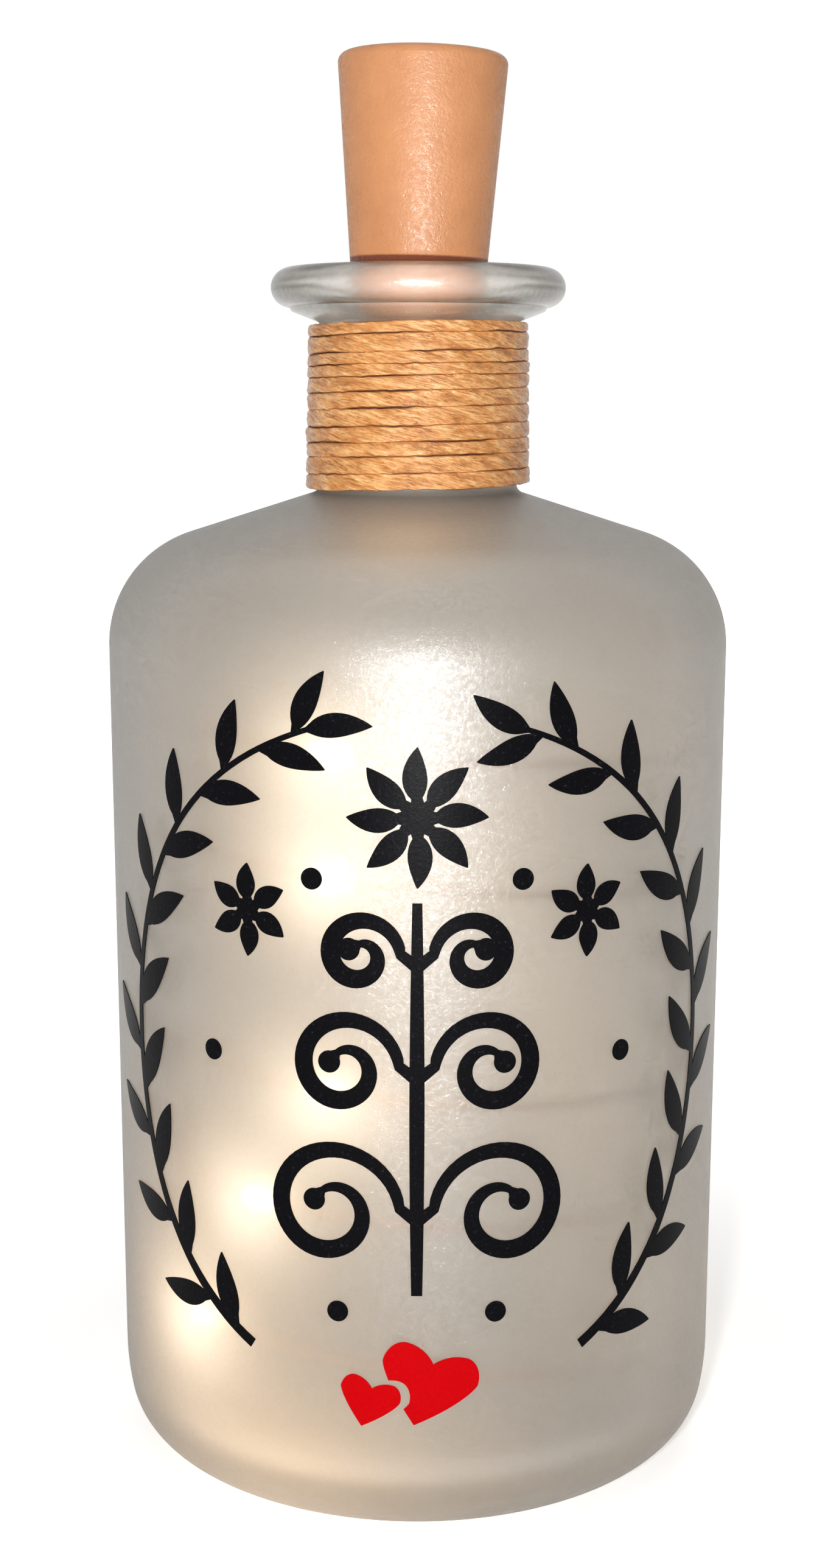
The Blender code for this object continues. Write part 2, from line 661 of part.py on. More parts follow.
def eased(knots, at):
    """Height at an angle, on a smooth curve through (angle, height) knots that never overshoots."""
    slopes = [(b[1] - a[1]) / (b[0] - a[0]) for a, b in zip(knots, knots[1:])]
    tangents = [slopes[0], *[2 * p * q / (p + q) for p, q in zip(slopes, slopes[1:])], slopes[-1]]
    for i, (a, b) in enumerate(zip(knots, knots[1:])):
        if at <= b[0] or b is knots[-1]:
            span = b[0] - a[0]
            t = (at - a[0]) / span
            return ((1 + 2 * t) * (1 - t) ** 2 * a[1] + t * (1 - t) ** 2 * span * tangents[i]
                    + t * t * (3 - 2 * t) * b[1] + t * t * (t - 1) * span * tangents[i + 1])


def coil_points():
    """Corners of the wire's loose turns, which lean on the glass wall."""
    points = []
    for k in range(COIL_CHORDS + 1):
        degrees = COIL_START_ANGLE + 360 * k / POINTS_PER_TURN
        angle = math.radians(degrees)
        points.append(Vector((COIL_R * math.sin(angle), -COIL_R * math.cos(angle),
                              eased(COIL_HEIGHTS, degrees) * MM)))
    return points


def build_led_string():
    points = coil_points()
    print("led_wire_coil least gap to itself, mm:", round(least_gap(points, WIRE_D, 12) / MM, 3))
    tube("led_wire_coil", points, WIRE_D, copper(), 1)
    start = (points[0] - points[1]).normalized()
    route = [Vector(p) * MM for p in LEAD_ROUTE]
    route += [points[0] + start * 3.0 * MM, points[0] + start * GAP]
    tube("led_lead", smooth_route(route, LEAD_STEP), WIRE_D, copper(), 2)
    for number, chord in enumerate(LED_CHORDS, start=1):
        build_led(f"led_bead_{number:02d}", points[chord], points[chord + 1])


def build_led(name, before, after):
    """Resin drop round an LED, threaded on the wire at the middle of one straight stretch."""
    half = LED_LENGTH / 2
    outline = [(LED_BORE_R, -half), (LED_END_R, -half), (LED_R * 0.86, -half * 0.55), (LED_R, 0.0),
               (LED_R * 0.86, half * 0.55), (LED_END_R, half), (LED_BORE_R, half)]
    bead = mesh_object(name, turned(outline, 8), led_resin())
    bead.location = (before + after) / 2
    bead.rotation_euler = (after - before).to_track_quat("Z", "Y").to_euler()


# Stopper

def stopper_outline():
    """Half section of the tapered shell, open at the top, with a partition across it."""
    corner_z = STOPPER_LENGTH - STOPPER_CORNER_R
    corner = arc((STOPPER_HEAD_R - STOPPER_CORNER_R, corner_z), STOPPER_CORNER_R, 90, 0, 4)
    return [(0.0, PARTITION[1]), (STOPPER_BORE_R, PARTITION[1]), (STOPPER_BORE_R, RECESS_FLOOR),
            (RECESS_R, RECESS_FLOOR), (RECESS_R, STOPPER_LENGTH), *corner,
            (STOPPER_FOOT_R, GAP), (STOPPER_FOOT_R - GAP, 0.0), (CHAMBER_FOOT_R, 0.0),
            (CHAMBER_TOP_R, PARTITION[0]), (0.0, PARTITION[0])]


def build_shell(axis):
    shell = mesh_object("stopper_shell", turned(stopper_outline()), cork_plastic(), axis)
    for name, slot in (("slot_negative", SLOT_NEGATIVE), ("slot_positive", SLOT_POSITIVE)):
        half_x, half_y = slot["size"][0] / 2, slot["size"][1] / 2
        low = (slot["x"] - half_x, slot["y"] - half_y, PARTITION[0] - 1 * MM)
        high = (slot["x"] + half_x, slot["y"] + half_y, PARTITION[1] + 1 * MM)
        cut(shell, box(low, high), name, axis)


def build_plug(axis):
    """Disc that closes the stopper's lower chamber, and the grommet that holds the wire in it."""
    low, high = PLUG_SPAN
    disc = turned([(0.0, low), (PLUG_R, low), (PLUG_R, high), (0.0, high)])
    plug = mesh_object("bottom_plug", disc, cork_plastic(), axis)
    hole = turned([(0.0, high + 1 * MM), (PLUG_HOLE_R, high + 1 * MM), (PLUG_HOLE_R, low - 1 * MM),
                   (0.0, low - 1 * MM)], 16)
    bmesh.ops.translate(hole, verts=hole.verts, vec=(WIRE_EXIT_X, 0, 0))
    cut(plug, hole, "plug_hole", axis)
    foot, shoulder, top = GROMMET_SPAN
    flange, stem = GROMMET_FLANGE_R, GROMMET_STEM_R
    outline = [(0.0, foot), (flange * 0.7, foot), (flange, shoulder - 0.2 * MM), (flange, shoulder),
               (stem, shoulder), (stem, top), (0.0, top)]
    grommet = mesh_object("wire_grommet", turned(outline, 16), silicone(), axis)
    grommet.location = (WIRE_EXIT_X, 0, 0)


def build_resistor(axis):
    lead, body = 0.3 * MM, 1.1 * MM
    outline = [(0.0, 4.4), (lead, 4.4), (lead, 6.0), (body * 0.8, 6.0), (body, 6.4), (body, 8.8),
               (body * 0.8, 9.2), (lead, 9.2), (lead, 10.6), (0.0, 10.6)]
    outline = [(r, z * MM) for r, z in outline]
    resistor = mesh_object("series_resistor", turned(outline, 12), resistor_body(), axis)
    resistor.location = (SLOT_NEGATIVE["x"], 0, 0)


def build_inner_wires(axis):
    """Two short wires that join the string, at the grommet, to the positive contact and the resistor."""
    routes = {
        "inner_wire_positive": ((3.6, 0.45, 3.95), (3.5, 0.8, 6.0), (2.4, 3.0, 8.2), (0.6, 4.8, 9.6),
                                (0.0, 5.2, 10.45)),
        "inner_wire_negative": ((3.6, -0.45, 4.0), (3.4, -0.8, 4.9), (2.0, -1.7, 4.9), (0.0, -2.0, 4.0),
                                (-1.7, -1.3, 3.5), (-2.6, 0.0, 3.9)),
    }
    for name, route in routes.items():
        points = smooth_route([Vector(p) * MM for p in route], 3 * INNER_WIRE_D)
        tube(name, points, INNER_WIRE_D, copper(), 1, axis)


def build_contacts(axis):
    """Two bent brass leaves that stand on the partition, with legs through its slots."""
    base, leg, thick = CONTACT_BASE_Z, CONTACT_LEG_END, CONTACT_THICKNESS
    leg_x = SLOT_NEGATIVE["x"]
    tongue = [(-1.8, 13.6), (1.6, 15.3), (2.6, 15.0), (2.6, 15.3), (1.6, 15.62), (-1.9, 13.9), (-4.6, 13.9),
              (-4.6, 13.6)]
    negative = [(leg_x - thick / 2, leg), (leg_x + thick / 2, leg), (leg_x + thick / 2, base),
                *[(x * MM, z * MM) for x, z in tongue], (leg_x - thick / 2, base)]
    strip = bent_strip(negative, NEGATIVE_WIDTH, "y")
    mesh_object("negative_contact", strip, spring_brass(), axis, smooth=False)
    leg_y = SLOT_POSITIVE["y"]
    outer = STRIP_Y[1] + GAP
    positive = [(leg_y - thick / 2, leg), (leg_y + thick / 2, leg), (leg_y + thick / 2, base),
                (outer + thick, base), (outer + thick, 17.5 * MM), (outer, 17.5 * MM), (outer, base + thick),
                (4.2 * MM, base + thick), (4.2 * MM, base), (leg_y - thick / 2, base)]
    strip = bent_strip(positive, POSITIVE_WIDTH, "x")
    mesh_object("positive_contact", strip, spring_brass(), axis, smooth=False)


# Battery core

def build_cells(axis):
    """Three button cells, one above the other."""
    outline = [(0.0, 0.0), (CELL_R * 0.8, 0.0), (CELL_R * 0.86, 0.5 * MM), (CELL_R, 0.9 * MM),
               (CELL_R, CELL_HEIGHT - 0.3 * MM), (CELL_R - 0.3 * MM, CELL_HEIGHT), (0.0, CELL_HEIGHT)]
    for number in range(CELL_COUNT):
        cell = mesh_object(f"button_cell_{number + 1}", turned(outline), cell_steel(), axis)
        cell.location = (0, 0, CELL_FOOT + number * (CELL_HEIGHT + GAP))


def build_holder(axis):
    """Open cradle for the cells: a floor ring, a half wall with a slot at the back, and a top ring."""
    low, high = HOLDER_FLOOR
    outline = [(HOLDER_FLOOR_HOLE_R, low), (HOLDER_R, low), (HOLDER_R, HOLDER_TOP),
               (HOLDER_INNER_R, HOLDER_TOP), (HOLDER_INNER_R, high), (HOLDER_FLOOR_HOLE_R, high)]
    holder = mesh_object("battery_holder", turned(outline), dark_plastic(), axis)
    reach = HOLDER_R + 1 * MM
    window = box((-reach, -reach, HOLDER_WINDOW[0]), (reach, -0.6 * MM, HOLDER_WINDOW[1]))
    cut(holder, window, "holder_window", axis)
    half = HOLDER_SLOT_WIDTH / 2
    slot = box((-half, 5.0 * MM, low - 1 * MM), (half, reach, HOLDER_TOP + 1 * MM))
    cut(holder, slot, "holder_slot", axis)


def build_core_contacts(axis):
    """Plate on the top cell, and the strip that carries current down to the positive leaf."""
    low, high = TOP_CONTACT_SPAN
    plate = turned([(0.0, low), (TOP_CONTACT_R, low), (TOP_CONTACT_R, high), (0.0, high)])
    mesh_object("top_contact", plate, spring_brass(), axis)
    strip = box((-STRIP_WIDTH / 2, STRIP_Y[0], STRIP_SPAN[0]), (STRIP_WIDTH / 2, STRIP_Y[1], STRIP_SPAN[1]))
    mesh_object("side_strip", strip, spring_brass(), axis, smooth=False)


def build_switch(axis):
    """Round board, and the slide switch's housing, hollow for the slider's foot."""
    low, high = BOARD_SPAN
    board = turned([(0.0, low), (BOARD_R, low), (BOARD_R, high), (0.0, high)])
    mesh_object("switch_board", board, board_green(), axis)
    low, high = HOUSING_SPAN
    half_x, half_y = HOUSING_HALF
    inner_x, inner_y = half_x - HOUSING_WALL, half_y - HOUSING_WALL
    cavity = (low + 0.6 * MM, high - 0.6 * MM)
    housing = stacked([(low, half_x, half_y, 0), (high, half_x, half_y, 0), (high, 2.4 * MM, 0.95 * MM, 0),
                       (cavity[1], 2.4 * MM, 0.95 * MM, 0), (cavity[1], inner_x, inner_y, 0),
                       (cavity[0], inner_x, inner_y, 0)])
    mesh_object("switch_housing", housing, dark_plastic(), axis, smooth=False)


def build_slider(axis):
    """Slider: a foot in the housing, a stem through its slot and a ribbed knob in the cap's slot."""
    top = SLIDER_KNOB_TOP
    ribs = []
    for k, half in enumerate((1.8, 1.8, 1.5, 1.5, 1.2)):
        ribs.append((top - (0.8 - 0.2 * k) * MM, half * MM, 1.1 * MM, 0))
    slider = stacked([(36.6 * MM, 1.7 * MM, 1.0 * MM, 0), (37.9 * MM, 1.7 * MM, 1.0 * MM, 0),
                      (37.9 * MM, 1.0 * MM, 0.55 * MM, 0), (40.2 * MM, 1.0 * MM, 0.55 * MM, 0),
                      (40.2 * MM, 1.8 * MM, 1.1 * MM, 0), *ribs])
    mesh_object("switch_slider", slider, dark_plastic(), axis, smooth=False)


def build_cap(axis):
    """Flush cap over the core, with the knob's slot, a skirt and a notch for a fingernail."""
    low, high = CAP_SPAN
    skirt = CAP_SKIRT
    outline = [(0.0, high), (CAP_R - GAP, high), (CAP_R, high - GAP), (CAP_R, low),
               (skirt["outer"], low), (skirt["outer"], skirt["foot"]),
               (skirt["inner"], skirt["foot"]), (skirt["inner"], low), (0.0, low)]
    cap = mesh_object("core_cap", turned(outline), cork_plastic(), axis)
    half_x, half_y = CAP_SLOT_HALF
    cut(cap, box((-half_x, -half_y, low - 1 * MM), (half_x, half_y, high + 1 * MM)), "cap_slot", axis)
    notch = bmesh.new()
    bmesh.ops.create_cone(notch, cap_ends=True, segments=16, radius1=NAIL_NOTCH_R, radius2=NAIL_NOTCH_R,
                          depth=NAIL_NOTCH_LENGTH)
    place = Matrix.Translation((0, -CAP_R, high)) @ Matrix.Rotation(math.pi / 2, 4, "Y")
    bmesh.ops.transform(notch, matrix=place, verts=notch.verts)
    cut(cap, notch, "nail_notch", axis)


def build_stopper():
    stopper_axis = empty_at("stopper_axis", STOPPER_FOOT, lean=STOPPER_LEAN)
    build_shell(stopper_axis)
    build_plug(stopper_axis)
    build_resistor(stopper_axis)
    build_inner_wires(stopper_axis)
    build_contacts(stopper_axis)
    core_axis = empty_at("core_axis", (0, 0, 0), stopper_axis)
    build_cells(core_axis)
    build_holder(core_axis)
    build_core_contacts(core_axis)
    build_switch(core_axis)
    build_cap(core_axis)
    build_slider(empty_at("switch_axis", (SLIDER_REST_X, 0, 0), core_axis))


def build_decoration():
    build_branch("vinyl_branch_left", -1)
    build_branch("vinyl_branch_right", 1)
    build_scroll()
    build_blossom("vinyl_blossom_top", BLOSSOM_TOP)
    build_blossom("vinyl_blossom_left", BLOSSOM_SIDE, -1)
    build_blossom("vinyl_blossom_right", BLOSSOM_SIDE, 1)
    build_dots()
    build_hearts()


clear_scene()
build_glass()
build_twine()
build_decoration()
build_led_string()
build_stopper()
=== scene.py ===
"""Looks of the light-up bottle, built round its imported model.

Metres, +Z up. The origin is the centre of the base, and the decorated front faces -Y.
"""

from math import atan2, ceil, cos, pi, radians, sin, sqrt, tan

import bmesh
import bpy
from mathutils import Matrix, Vector, noise


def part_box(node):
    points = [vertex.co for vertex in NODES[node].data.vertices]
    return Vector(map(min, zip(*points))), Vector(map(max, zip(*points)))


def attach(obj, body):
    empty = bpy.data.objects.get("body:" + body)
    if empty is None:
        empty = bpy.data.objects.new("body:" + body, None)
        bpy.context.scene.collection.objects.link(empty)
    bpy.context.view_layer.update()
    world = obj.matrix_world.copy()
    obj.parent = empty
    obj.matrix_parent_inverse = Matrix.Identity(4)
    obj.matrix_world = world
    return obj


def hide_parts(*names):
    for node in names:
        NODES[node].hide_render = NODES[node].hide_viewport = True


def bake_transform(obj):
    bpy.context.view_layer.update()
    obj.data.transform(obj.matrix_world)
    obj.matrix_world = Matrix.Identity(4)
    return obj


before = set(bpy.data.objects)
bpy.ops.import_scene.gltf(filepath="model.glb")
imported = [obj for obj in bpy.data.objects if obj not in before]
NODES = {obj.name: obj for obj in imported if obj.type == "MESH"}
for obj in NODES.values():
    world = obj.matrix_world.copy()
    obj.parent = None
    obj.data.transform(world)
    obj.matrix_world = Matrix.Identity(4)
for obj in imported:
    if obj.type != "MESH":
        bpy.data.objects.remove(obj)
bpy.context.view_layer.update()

MM = 0.001

# Camera, as in the photograph
CAMERA_PLACE = (-0.08 * MM, -289.39 * MM, 139.9 * MM)
CAMERA_TURN = (80.013, -0.10, 0.0)
CAMERA_LENS = 50.86

# Glass, outer surface, from the base up
PUNT_HEIGHT = 1.6 * MM
RING_INNER_R = 22.0 * MM
FOOT_R = 39.71 * MM
BODY_R = 40.1 * MM
HEEL_ARCS = ((33.0 * MM, 10.5), (8.0 * MM, 46.5), (17.0 * MM, 33.0))
SHOULDER_Z = 108.0 * MM
SHOULDER_ARC_R = 14.9 * MM
CONE_SLOPE = 17.75
NECK_FOOT_R = 12.75 * MM
NECK_FOOT_FILLET = 1.2 * MM
NECK_TOP_R = 12.4 * MM
NECK_TOP_Z = 148.0 * MM
LIP_FILLET = 1.2 * MM
LIP_CREASE = (16.16 * MM, 150.25 * MM)
LIP_ROLL_R = 2.45 * MM
LIP_ROLL_CENTRE = (16.34 * MM, 153.2 * MM)
GLASS_SEGMENTS = 192

# Glass, inner surface
WALL = 2.7 * MM
MOUTH_ROUND = 0.9 * MM
MOUTH_TOP_Z = 155.35 * MM
MOUTH_R = 9.05 * MM
BORE_R = 8.6 * MM
BORE_TAPER_END_Z = 139.0 * MM
INNER_CORNER_R = 2.5 * MM
INNER_FOOT_R = 37.2 * MM
INNER_HEEL_R = 9.0 * MM
FLOOR_EDGE_Z = 6.4 * MM
FLOOR_CENTRE_Z = 7.4 * MM

# Cord round the neck: TWINE_EDGES, at the front, and TWINE_PITCH are heights in mm
TWINE_EDGES = (128.17, 130.25, 132.37, 134.12, 136.08, 138.32, 140.36, 142.2, 143.64, 145.12,
               147.36, 148.8)
TWINE_LIMITS = (127.9 * MM, 148.9 * MM)
TWINE_DEPTH = 1.66 * MM
TWINE_TURNS = 10 + 2 / 3
TWINE_PITCH = 1.875
TWINE_START_ANGLE = 240.0
TWINE_STEPS = 260
TWINE_COLUMNS = (20, 6)
TWINE_TAPER = (0.35, 20)
TWINE_CLEARANCE = 0.02 * MM
FIBRE_SLANT = 12.0

# Cord's unevenness: size, pace round the neck and seed of each wave of an edge
EDGE_WAVES = ((0.16 * MM, 14.0, 3.0), (0.10 * MM, 62.0, 8.0))

# Depth, width and length in mm, and seed of each kind of crease, and how far they move the paper
CREASES = ((1.0, 0.55, 3.2, 5.0), (0.5, 0.24, 1.6, 7.0))
CREASE_SHARE = (0.17, 0.02)
PUFF_SHARE = 0.09

# Squareness of the strand, least and more where pressed, and where the painted shade of a gap starts and
# how wide
CORNER_POWER = (4.2, 5.0)
GAP_FROM = (0.76, 0.2)

# Vinyl decoration, drawn flat: s runs round the glass to the right, z up
VINYL_LIFT = 0.03 * MM
VINYL_THICKNESS = 0.12 * MM
VINYL_TIP_HALF = 0.06 * MM
WRAP_STEP = 0.9 * MM
BRANCH = {"centre_z": 62.0 * MM, "half_width": 42.0 * MM, "half_height": 42.0 * MM,
          "span": (-60.0, 72.0), "stem_half": 0.65 * MM, "taper": 0.5, "leaf_pairs": 9,
          "leaf_root": 1.2 * MM, "leaf_shares": (0.03, 0.93), "stagger": 0.05}
LEAF = {"length": 9.8 * MM, "width": 3.6 * MM, "lean": 42.0, "tip_turn": 14.0, "bow": 0.05,
        "stations": 14, "fullest": 0.4, "shrink": 0.35, "tip_scale": 0.8}
STEM = {"foot_z": 34.0 * MM, "top_z": 82.0 * MM, "half": 0.9 * MM, "root": 1.8 * MM}

# Tendrils: height, radius and turns of each pair
TENDRILS = ((43.0 * MM, 8.4 * MM, 1.35), (60.5 * MM, 6.6 * MM, 1.35), (74.0 * MM, 4.8 * MM, 1.3))
TENDRIL_GAP = 0.3 * MM
TENDRIL = {"first_step": (1.2 * MM, 1.0 * MM), "heading": 78.0, "shrink": 0.74,
           "steps_per_turn": 48, "thin_half": 0.4 * MM, "swell_half": 0.75 * MM,
           "ball_r": 1.35 * MM}

# Blossoms: place, number of petals, size of the core, and length and width of a petal
BLOSSOM_TOP = (0.0, 92.0 * MM, 8, 2.0 * MM, 6.4 * MM, 2.9 * MM)
BLOSSOM_SIDE = (21.0 * MM, 80.0 * MM, 6, 1.4 * MM, 4.4 * MM, 2.6 * MM)

# Dots in mm, and hearts
DOTS = ((12.5, 84.5), (26.5, 62.0), (9.6, 31.6))
DOT_R = 1.3 * MM
HEART_LARGE = {"tip": (-0.33 * MM, 17.5 * MM), "width": 12.07 * MM, "lean": 17.0}
HEART_SMALL = {"tip": (-6.72 * MM, 17.15 * MM), "width": 7.52 * MM, "lean": 15.0}
HEART_SHAPE = (0.572, 0.82, 0.62, 0.404)
HEART_CENTRE = 0.45
HEART_SLICES = 72
HEART_CUT_MARGIN = 1.05 * MM

# LED string: knots are angles from the front and heights in mm, and the lead's route is in mm
WIRE_D = 0.6 * MM
COIL_R = 34.85 * MM
COIL_START_ANGLE = 80.5
COIL_SWEEP = 1845.0
COIL_STEP = 5.0
COIL_HEIGHTS = ((80.5, 107.5), (343.0, 98.6), (703.0, 83.7), (1063.0, 57.4),
                (1408.0, 42.7), (1753.0, 25.4), (1925.5, 12.9))
LED_COUNT = 10
LED_LENGTH = 5.5 * MM
LED_R = 1.7 * MM
LEAD_ROUTE = ((3.29, 0.0, 137.85), (3.21, 0.0, 133.6), (4.0, -0.8, 129.4), (6.8, -4.0, 124.2),
              (13.5, -10.5, 118.6), (22.5, -15.6, 113.2), (30.3, -14.2, 109.5), (33.5, -9.6, 108.0))

# Stopper: its foot's place in the world, then heights above that foot
STOPPER_FOOT = (-0.29 * MM, 0.0, 138.82 * MM)
STOPPER_LEAN = 1.15
STOPPER_LENGTH = 43.0 * MM
STOPPER_FOOT_R = 7.38 * MM
STOPPER_HEAD_R = 10.7 * MM
STOPPER_CORNER_R = 1.2 * MM
# Painted shadow: a dark line painted round the stopper at the height where the mouth's edge meets it
SEAT_SHADOW = {"z": 17.6 * MM, "full": 0.3 * MM, "faded": 0.55 * MM}
CHAMBER_FOOT_R = 6.4 * MM
CHAMBER_TOP_R = 7.1 * MM
PARTITION = (11.7 * MM, 13.3 * MM)
STOPPER_BORE_R = 7.4 * MM
RECESS_R = 8.95 * MM
RECESS_FLOOR = 40.2 * MM
SLOT_NEGATIVE = ((-2.6 * MM, 0.0), (0.9 * MM, 3.0 * MM))
SLOT_POSITIVE = ((0.0, 5.2 * MM), (2.2 * MM, 0.9 * MM))
PLUG_R = 6.1 * MM
PLUG_SPAN = (0.35 * MM, 2.9 * MM)
WIRE_EXIT_X = 3.6 * MM
PLUG_HOLE_R = 1.2 * MM
GROMMET_FLANGE_R = 1.7 * MM
GROMMET_STEM_R = 0.9 * MM
GROMMET_SPAN = (-0.6 * MM, 0.05 * MM, 3.6 * MM)
CAP_R = 8.65 * MM
CAP_SPAN = (40.5 * MM, 42.8 * MM)
CAP_SKIRT = (7.0 * MM, 6.0 * MM, 36.4 * MM)
CAP_SLOT_HALF = (3.3 * MM, 1.5 * MM)
NAIL_NOTCH_R = 1.3 * MM
NAIL_NOTCH_LENGTH = 5.0 * MM
EDGE = 0.3 * MM
ROUND_SEGMENTS = 96
SHARP_ANGLE = radians(35)
OVERCUT = 1 * MM

# Light
AMBIENT = 0.15
WARM_WHITE = (1.0, 0.98, 0.95)
FLASH_PLACE = (-24 * MM, -300 * MM, 135 * MM)
GLINT_PLACE = (12 * MM, -300 * MM, 102 * MM)
# Painted glow on the glass round each LED bead, and two more painted glows at the foot and under the
# winding
PAINTED_HALO_REACH = 9.5 * MM
PAINTED_HALO_STRENGTH = 0.66
FOOT_PAINTED_GLOW = {"place": (-17 * MM, -30 * MM, 3 * MM), "reach": 24 * MM, "strength": 0.26}
NECK_PAINTED_GLOW = {"place": (-1.5 * MM, -26 * MM, 123.4 * MM), "reach": 10 * MM, "strength": 0.12}
FLOOR_FADE = (0.06, 0.22)
CLEAR_ABOVE = (147 * MM, 150 * MM)

# Finishes: stops of colour ramps, and colours
GLASS_BODY = ((0.3, (0.50, 0.482, 0.448)), (0.7, (0.54, 0.522, 0.488)))
GLASS_EDGE = (0.26, 0.25, 0.23, 1.0)
GLASS_LIP = ((0.05, (1.0, 0.96, 0.90)), (0.45, (0.33, 0.317, 0.282)), (0.8, (0.26, 0.25, 0.22)))
# Colour of the glow painted on the glass round the LEDs
GLASS_PAINTED_GLOW = ((0.0, (1.0, 0.66, 0.36)), (0.9, (1.0, 0.86, 0.66)))
PAPER = ((0.0, (0.50, 0.175, 0.038)), (0.42, (0.69, 0.285, 0.076)), (1.0, (0.97, 0.58, 0.25)))
# Colour of the painted shade in the cord's gaps and fold lines
PAPER_PAINTED_SHADE = (0.19, 0.045, 0.008, 1.0)
CORK = ((0.3, (0.56, 0.238, 0.096)), (0.72, (0.64, 0.282, 0.12)))
# Colour of the painted shadow line round the stopper
CORK_SEAT_SHADOW = (0.11, 0.012, 0.004, 1.0)
RESIN = ((0.3, (1.0, 0.80, 0.50)), (0.7, (1.0, 0.88, 0.64)))
RESIN_GLOW = ((0.3, (1.0, 0.66, 0.34)), (0.7, (1.0, 0.76, 0.46)))
FLOOR_WHITE = ((0.3, (0.86, 0.86, 0.86)), (0.7, (0.88, 0.88, 0.88)))
VINYLS = {"black_vinyl": ((0.0, (0.0015, 0.0015, 0.002)), (0.62, (0.003, 0.003, 0.004)),
                          (0.78, (0.03, 0.028, 0.045))),
          "red_vinyl": ((0.0, (0.42, 0.0003, 0.0015)), (0.62, (0.50, 0.0006, 0.0025)),
                        (0.78, (0.60, 0.003, 0.008)))}

# Plain finishes: dark and light colour, roughness, scale of the grain, its bump, and metallic
PLAIN = {
    "copper_wire": ((0.60, 0.27, 0.13), (0.76, 0.40, 0.22), 0.28, 700.0, 0.01 * MM, 1.0),
    "silicone": ((0.66, 0.65, 0.60), (0.74, 0.73, 0.68), 0.55, 1800.0, 0.02 * MM, 0.0),
    "dark_plastic": ((0.022, 0.022, 0.024), (0.034, 0.034, 0.037), 0.42, 1600.0, 0.015 * MM, 0.0),
    "spring_brass": ((0.70, 0.50, 0.22), (0.82, 0.62, 0.31), 0.30, 900.0, 0.008 * MM, 1.0),
    "cell_steel": ((0.30, 0.30, 0.31), (0.40, 0.40, 0.41), 0.33, 1200.0, 0.006 * MM, 1.0),
    "board_green": ((0.015, 0.17, 0.065), (0.025, 0.24, 0.10), 0.38, 1400.0, 0.01 * MM, 0.0),
    "resistor_body": ((0.50, 0.40, 0.26), (0.64, 0.53, 0.36), 0.45, 1500.0, 0.02 * MM, 0.0)}

# Nodes that stay as they are packed, by finish. The dark ones and the board get soft edges
NODE_FINISHES = {
    "resistor_body": ("series_resistor",),
    "copper_wire": ("inner_wire_positive", "inner_wire_negative"),
    "spring_brass": ("negative_contact", "positive_contact", "top_contact", "side_strip"),
    "cell_steel": ("button_cell_1", "button_cell_2", "button_cell_3"),
    "dark_plastic": ("battery_holder", "switch_housing", "switch_slider"),
    "board_green": ("switch_board",)}
SOFT_EDGE = 0.12 * MM


# Node materials

def node(tree, kind, inputs=None, output=0, **settings):
    """Adds a shader node and gives back one of its outputs. Inputs are values or other outputs."""
    made = tree.nodes.new("ShaderNode" + kind)
    for name, value in settings.items():
        setattr(made, name, value)
    for socket, value in (inputs or {}).items():
        if isinstance(value, bpy.types.NodeSocket):
            tree.links.new(value, made.inputs[socket])
        else:
            made.inputs[socket].default_value = value
    return made.outputs[output]


def ramp(tree, factor, *stops):
    """Colour ramp through (position, colour) stops."""
    made = tree.nodes.new("ShaderNodeValToRGB")
    elements = made.color_ramp.elements
    while len(elements) < len(stops):
        elements.new(0.5)
    for element, (position, colour) in zip(elements, stops):
        element.position = position
        element.color = (*colour, 1.0)
    tree.links.new(factor, made.inputs["Fac"])
    return made.outputs["Color"]


def maths(tree, operation, *values):
    """One step of arithmetic with numbers and other outputs."""
    return node(tree, "Math", dict(enumerate(values)), operation=operation)


def remap(tree, value, start, end, low=0.0, high=1.0):
    """Maps a value from start..end to low..high, and no further."""
    return node(tree, "MapRange", {"Value": value, "From Min": start, "From Max": end,
                                   "To Min": low, "To Max": high})


def spread(tree, factor, low, high):
    """Maps a factor from 0..1 to low..high."""
    return remap(tree, factor, 0.0, 1.0, low, high)


def mixed(tree, factor, first, second):
    """A colour between the first and the second."""
    return node(tree, "Mix", {"Factor": factor, "A": first, "B": second}, output=2, data_type="RGBA")


def axis_of(tree, vector, axis):
    return node(tree, "SeparateXYZ", {0: vector}, output=axis)


def noise_of(tree, vector, scale, detail=2.0, rough=0.5):
    inputs = {"Vector": vector, "Scale": scale, "Detail": detail, "Roughness": rough}
    return node(tree, "TexNoise", inputs)


def lay_noise(tree, lay, along, across, rough=0.6):
    """Noise that is drawn out along a strand."""
    stretched = node(tree, "Mapping", {"Vector": lay, "Scale": (along, across, 1.0)})
    return noise_of(tree, stretched, 1.0, 3.0, rough)


def bumped(tree, height, distance):
    return node(tree, "Bump", {"Height": height, "Distance": distance})


def finish_of(name, constants, dress):
    """A Principled material: constants go straight on its sockets, and dress links the rest."""
    material = bpy.data.materials.new(name)
    material.use_nodes = True
    tree = material.node_tree
    shader = tree.nodes["Principled BSDF"]
    for socket, value in constants.items():
        shader.inputs[socket].default_value = value
    coords = node(tree, "TexCoord", output="Object")
    for socket, source in dress(tree, coords).items():
        tree.links.new(source, shader.inputs[socket])
    return material


def speckled(name):
    """A plain moulded or plated finish: cloudy colour, uneven gloss and a fine surface grain."""
    dark, light, roughness, grain, bump, metallic = PLAIN[name]

    def dress(tree, coords):
        cloud = noise_of(tree, coords, 120.0, 3.0)
        fine = noise_of(tree, coords, grain)
        return {"Base Color": ramp(tree, cloud, (0.3, dark), (0.7, light)),
                "Roughness": spread(tree, fine, roughness - 0.06, roughness + 0.08),
                "Normal": bumped(tree, fine, bump)}

    return finish_of(name, {"Metallic": metallic}, dress)


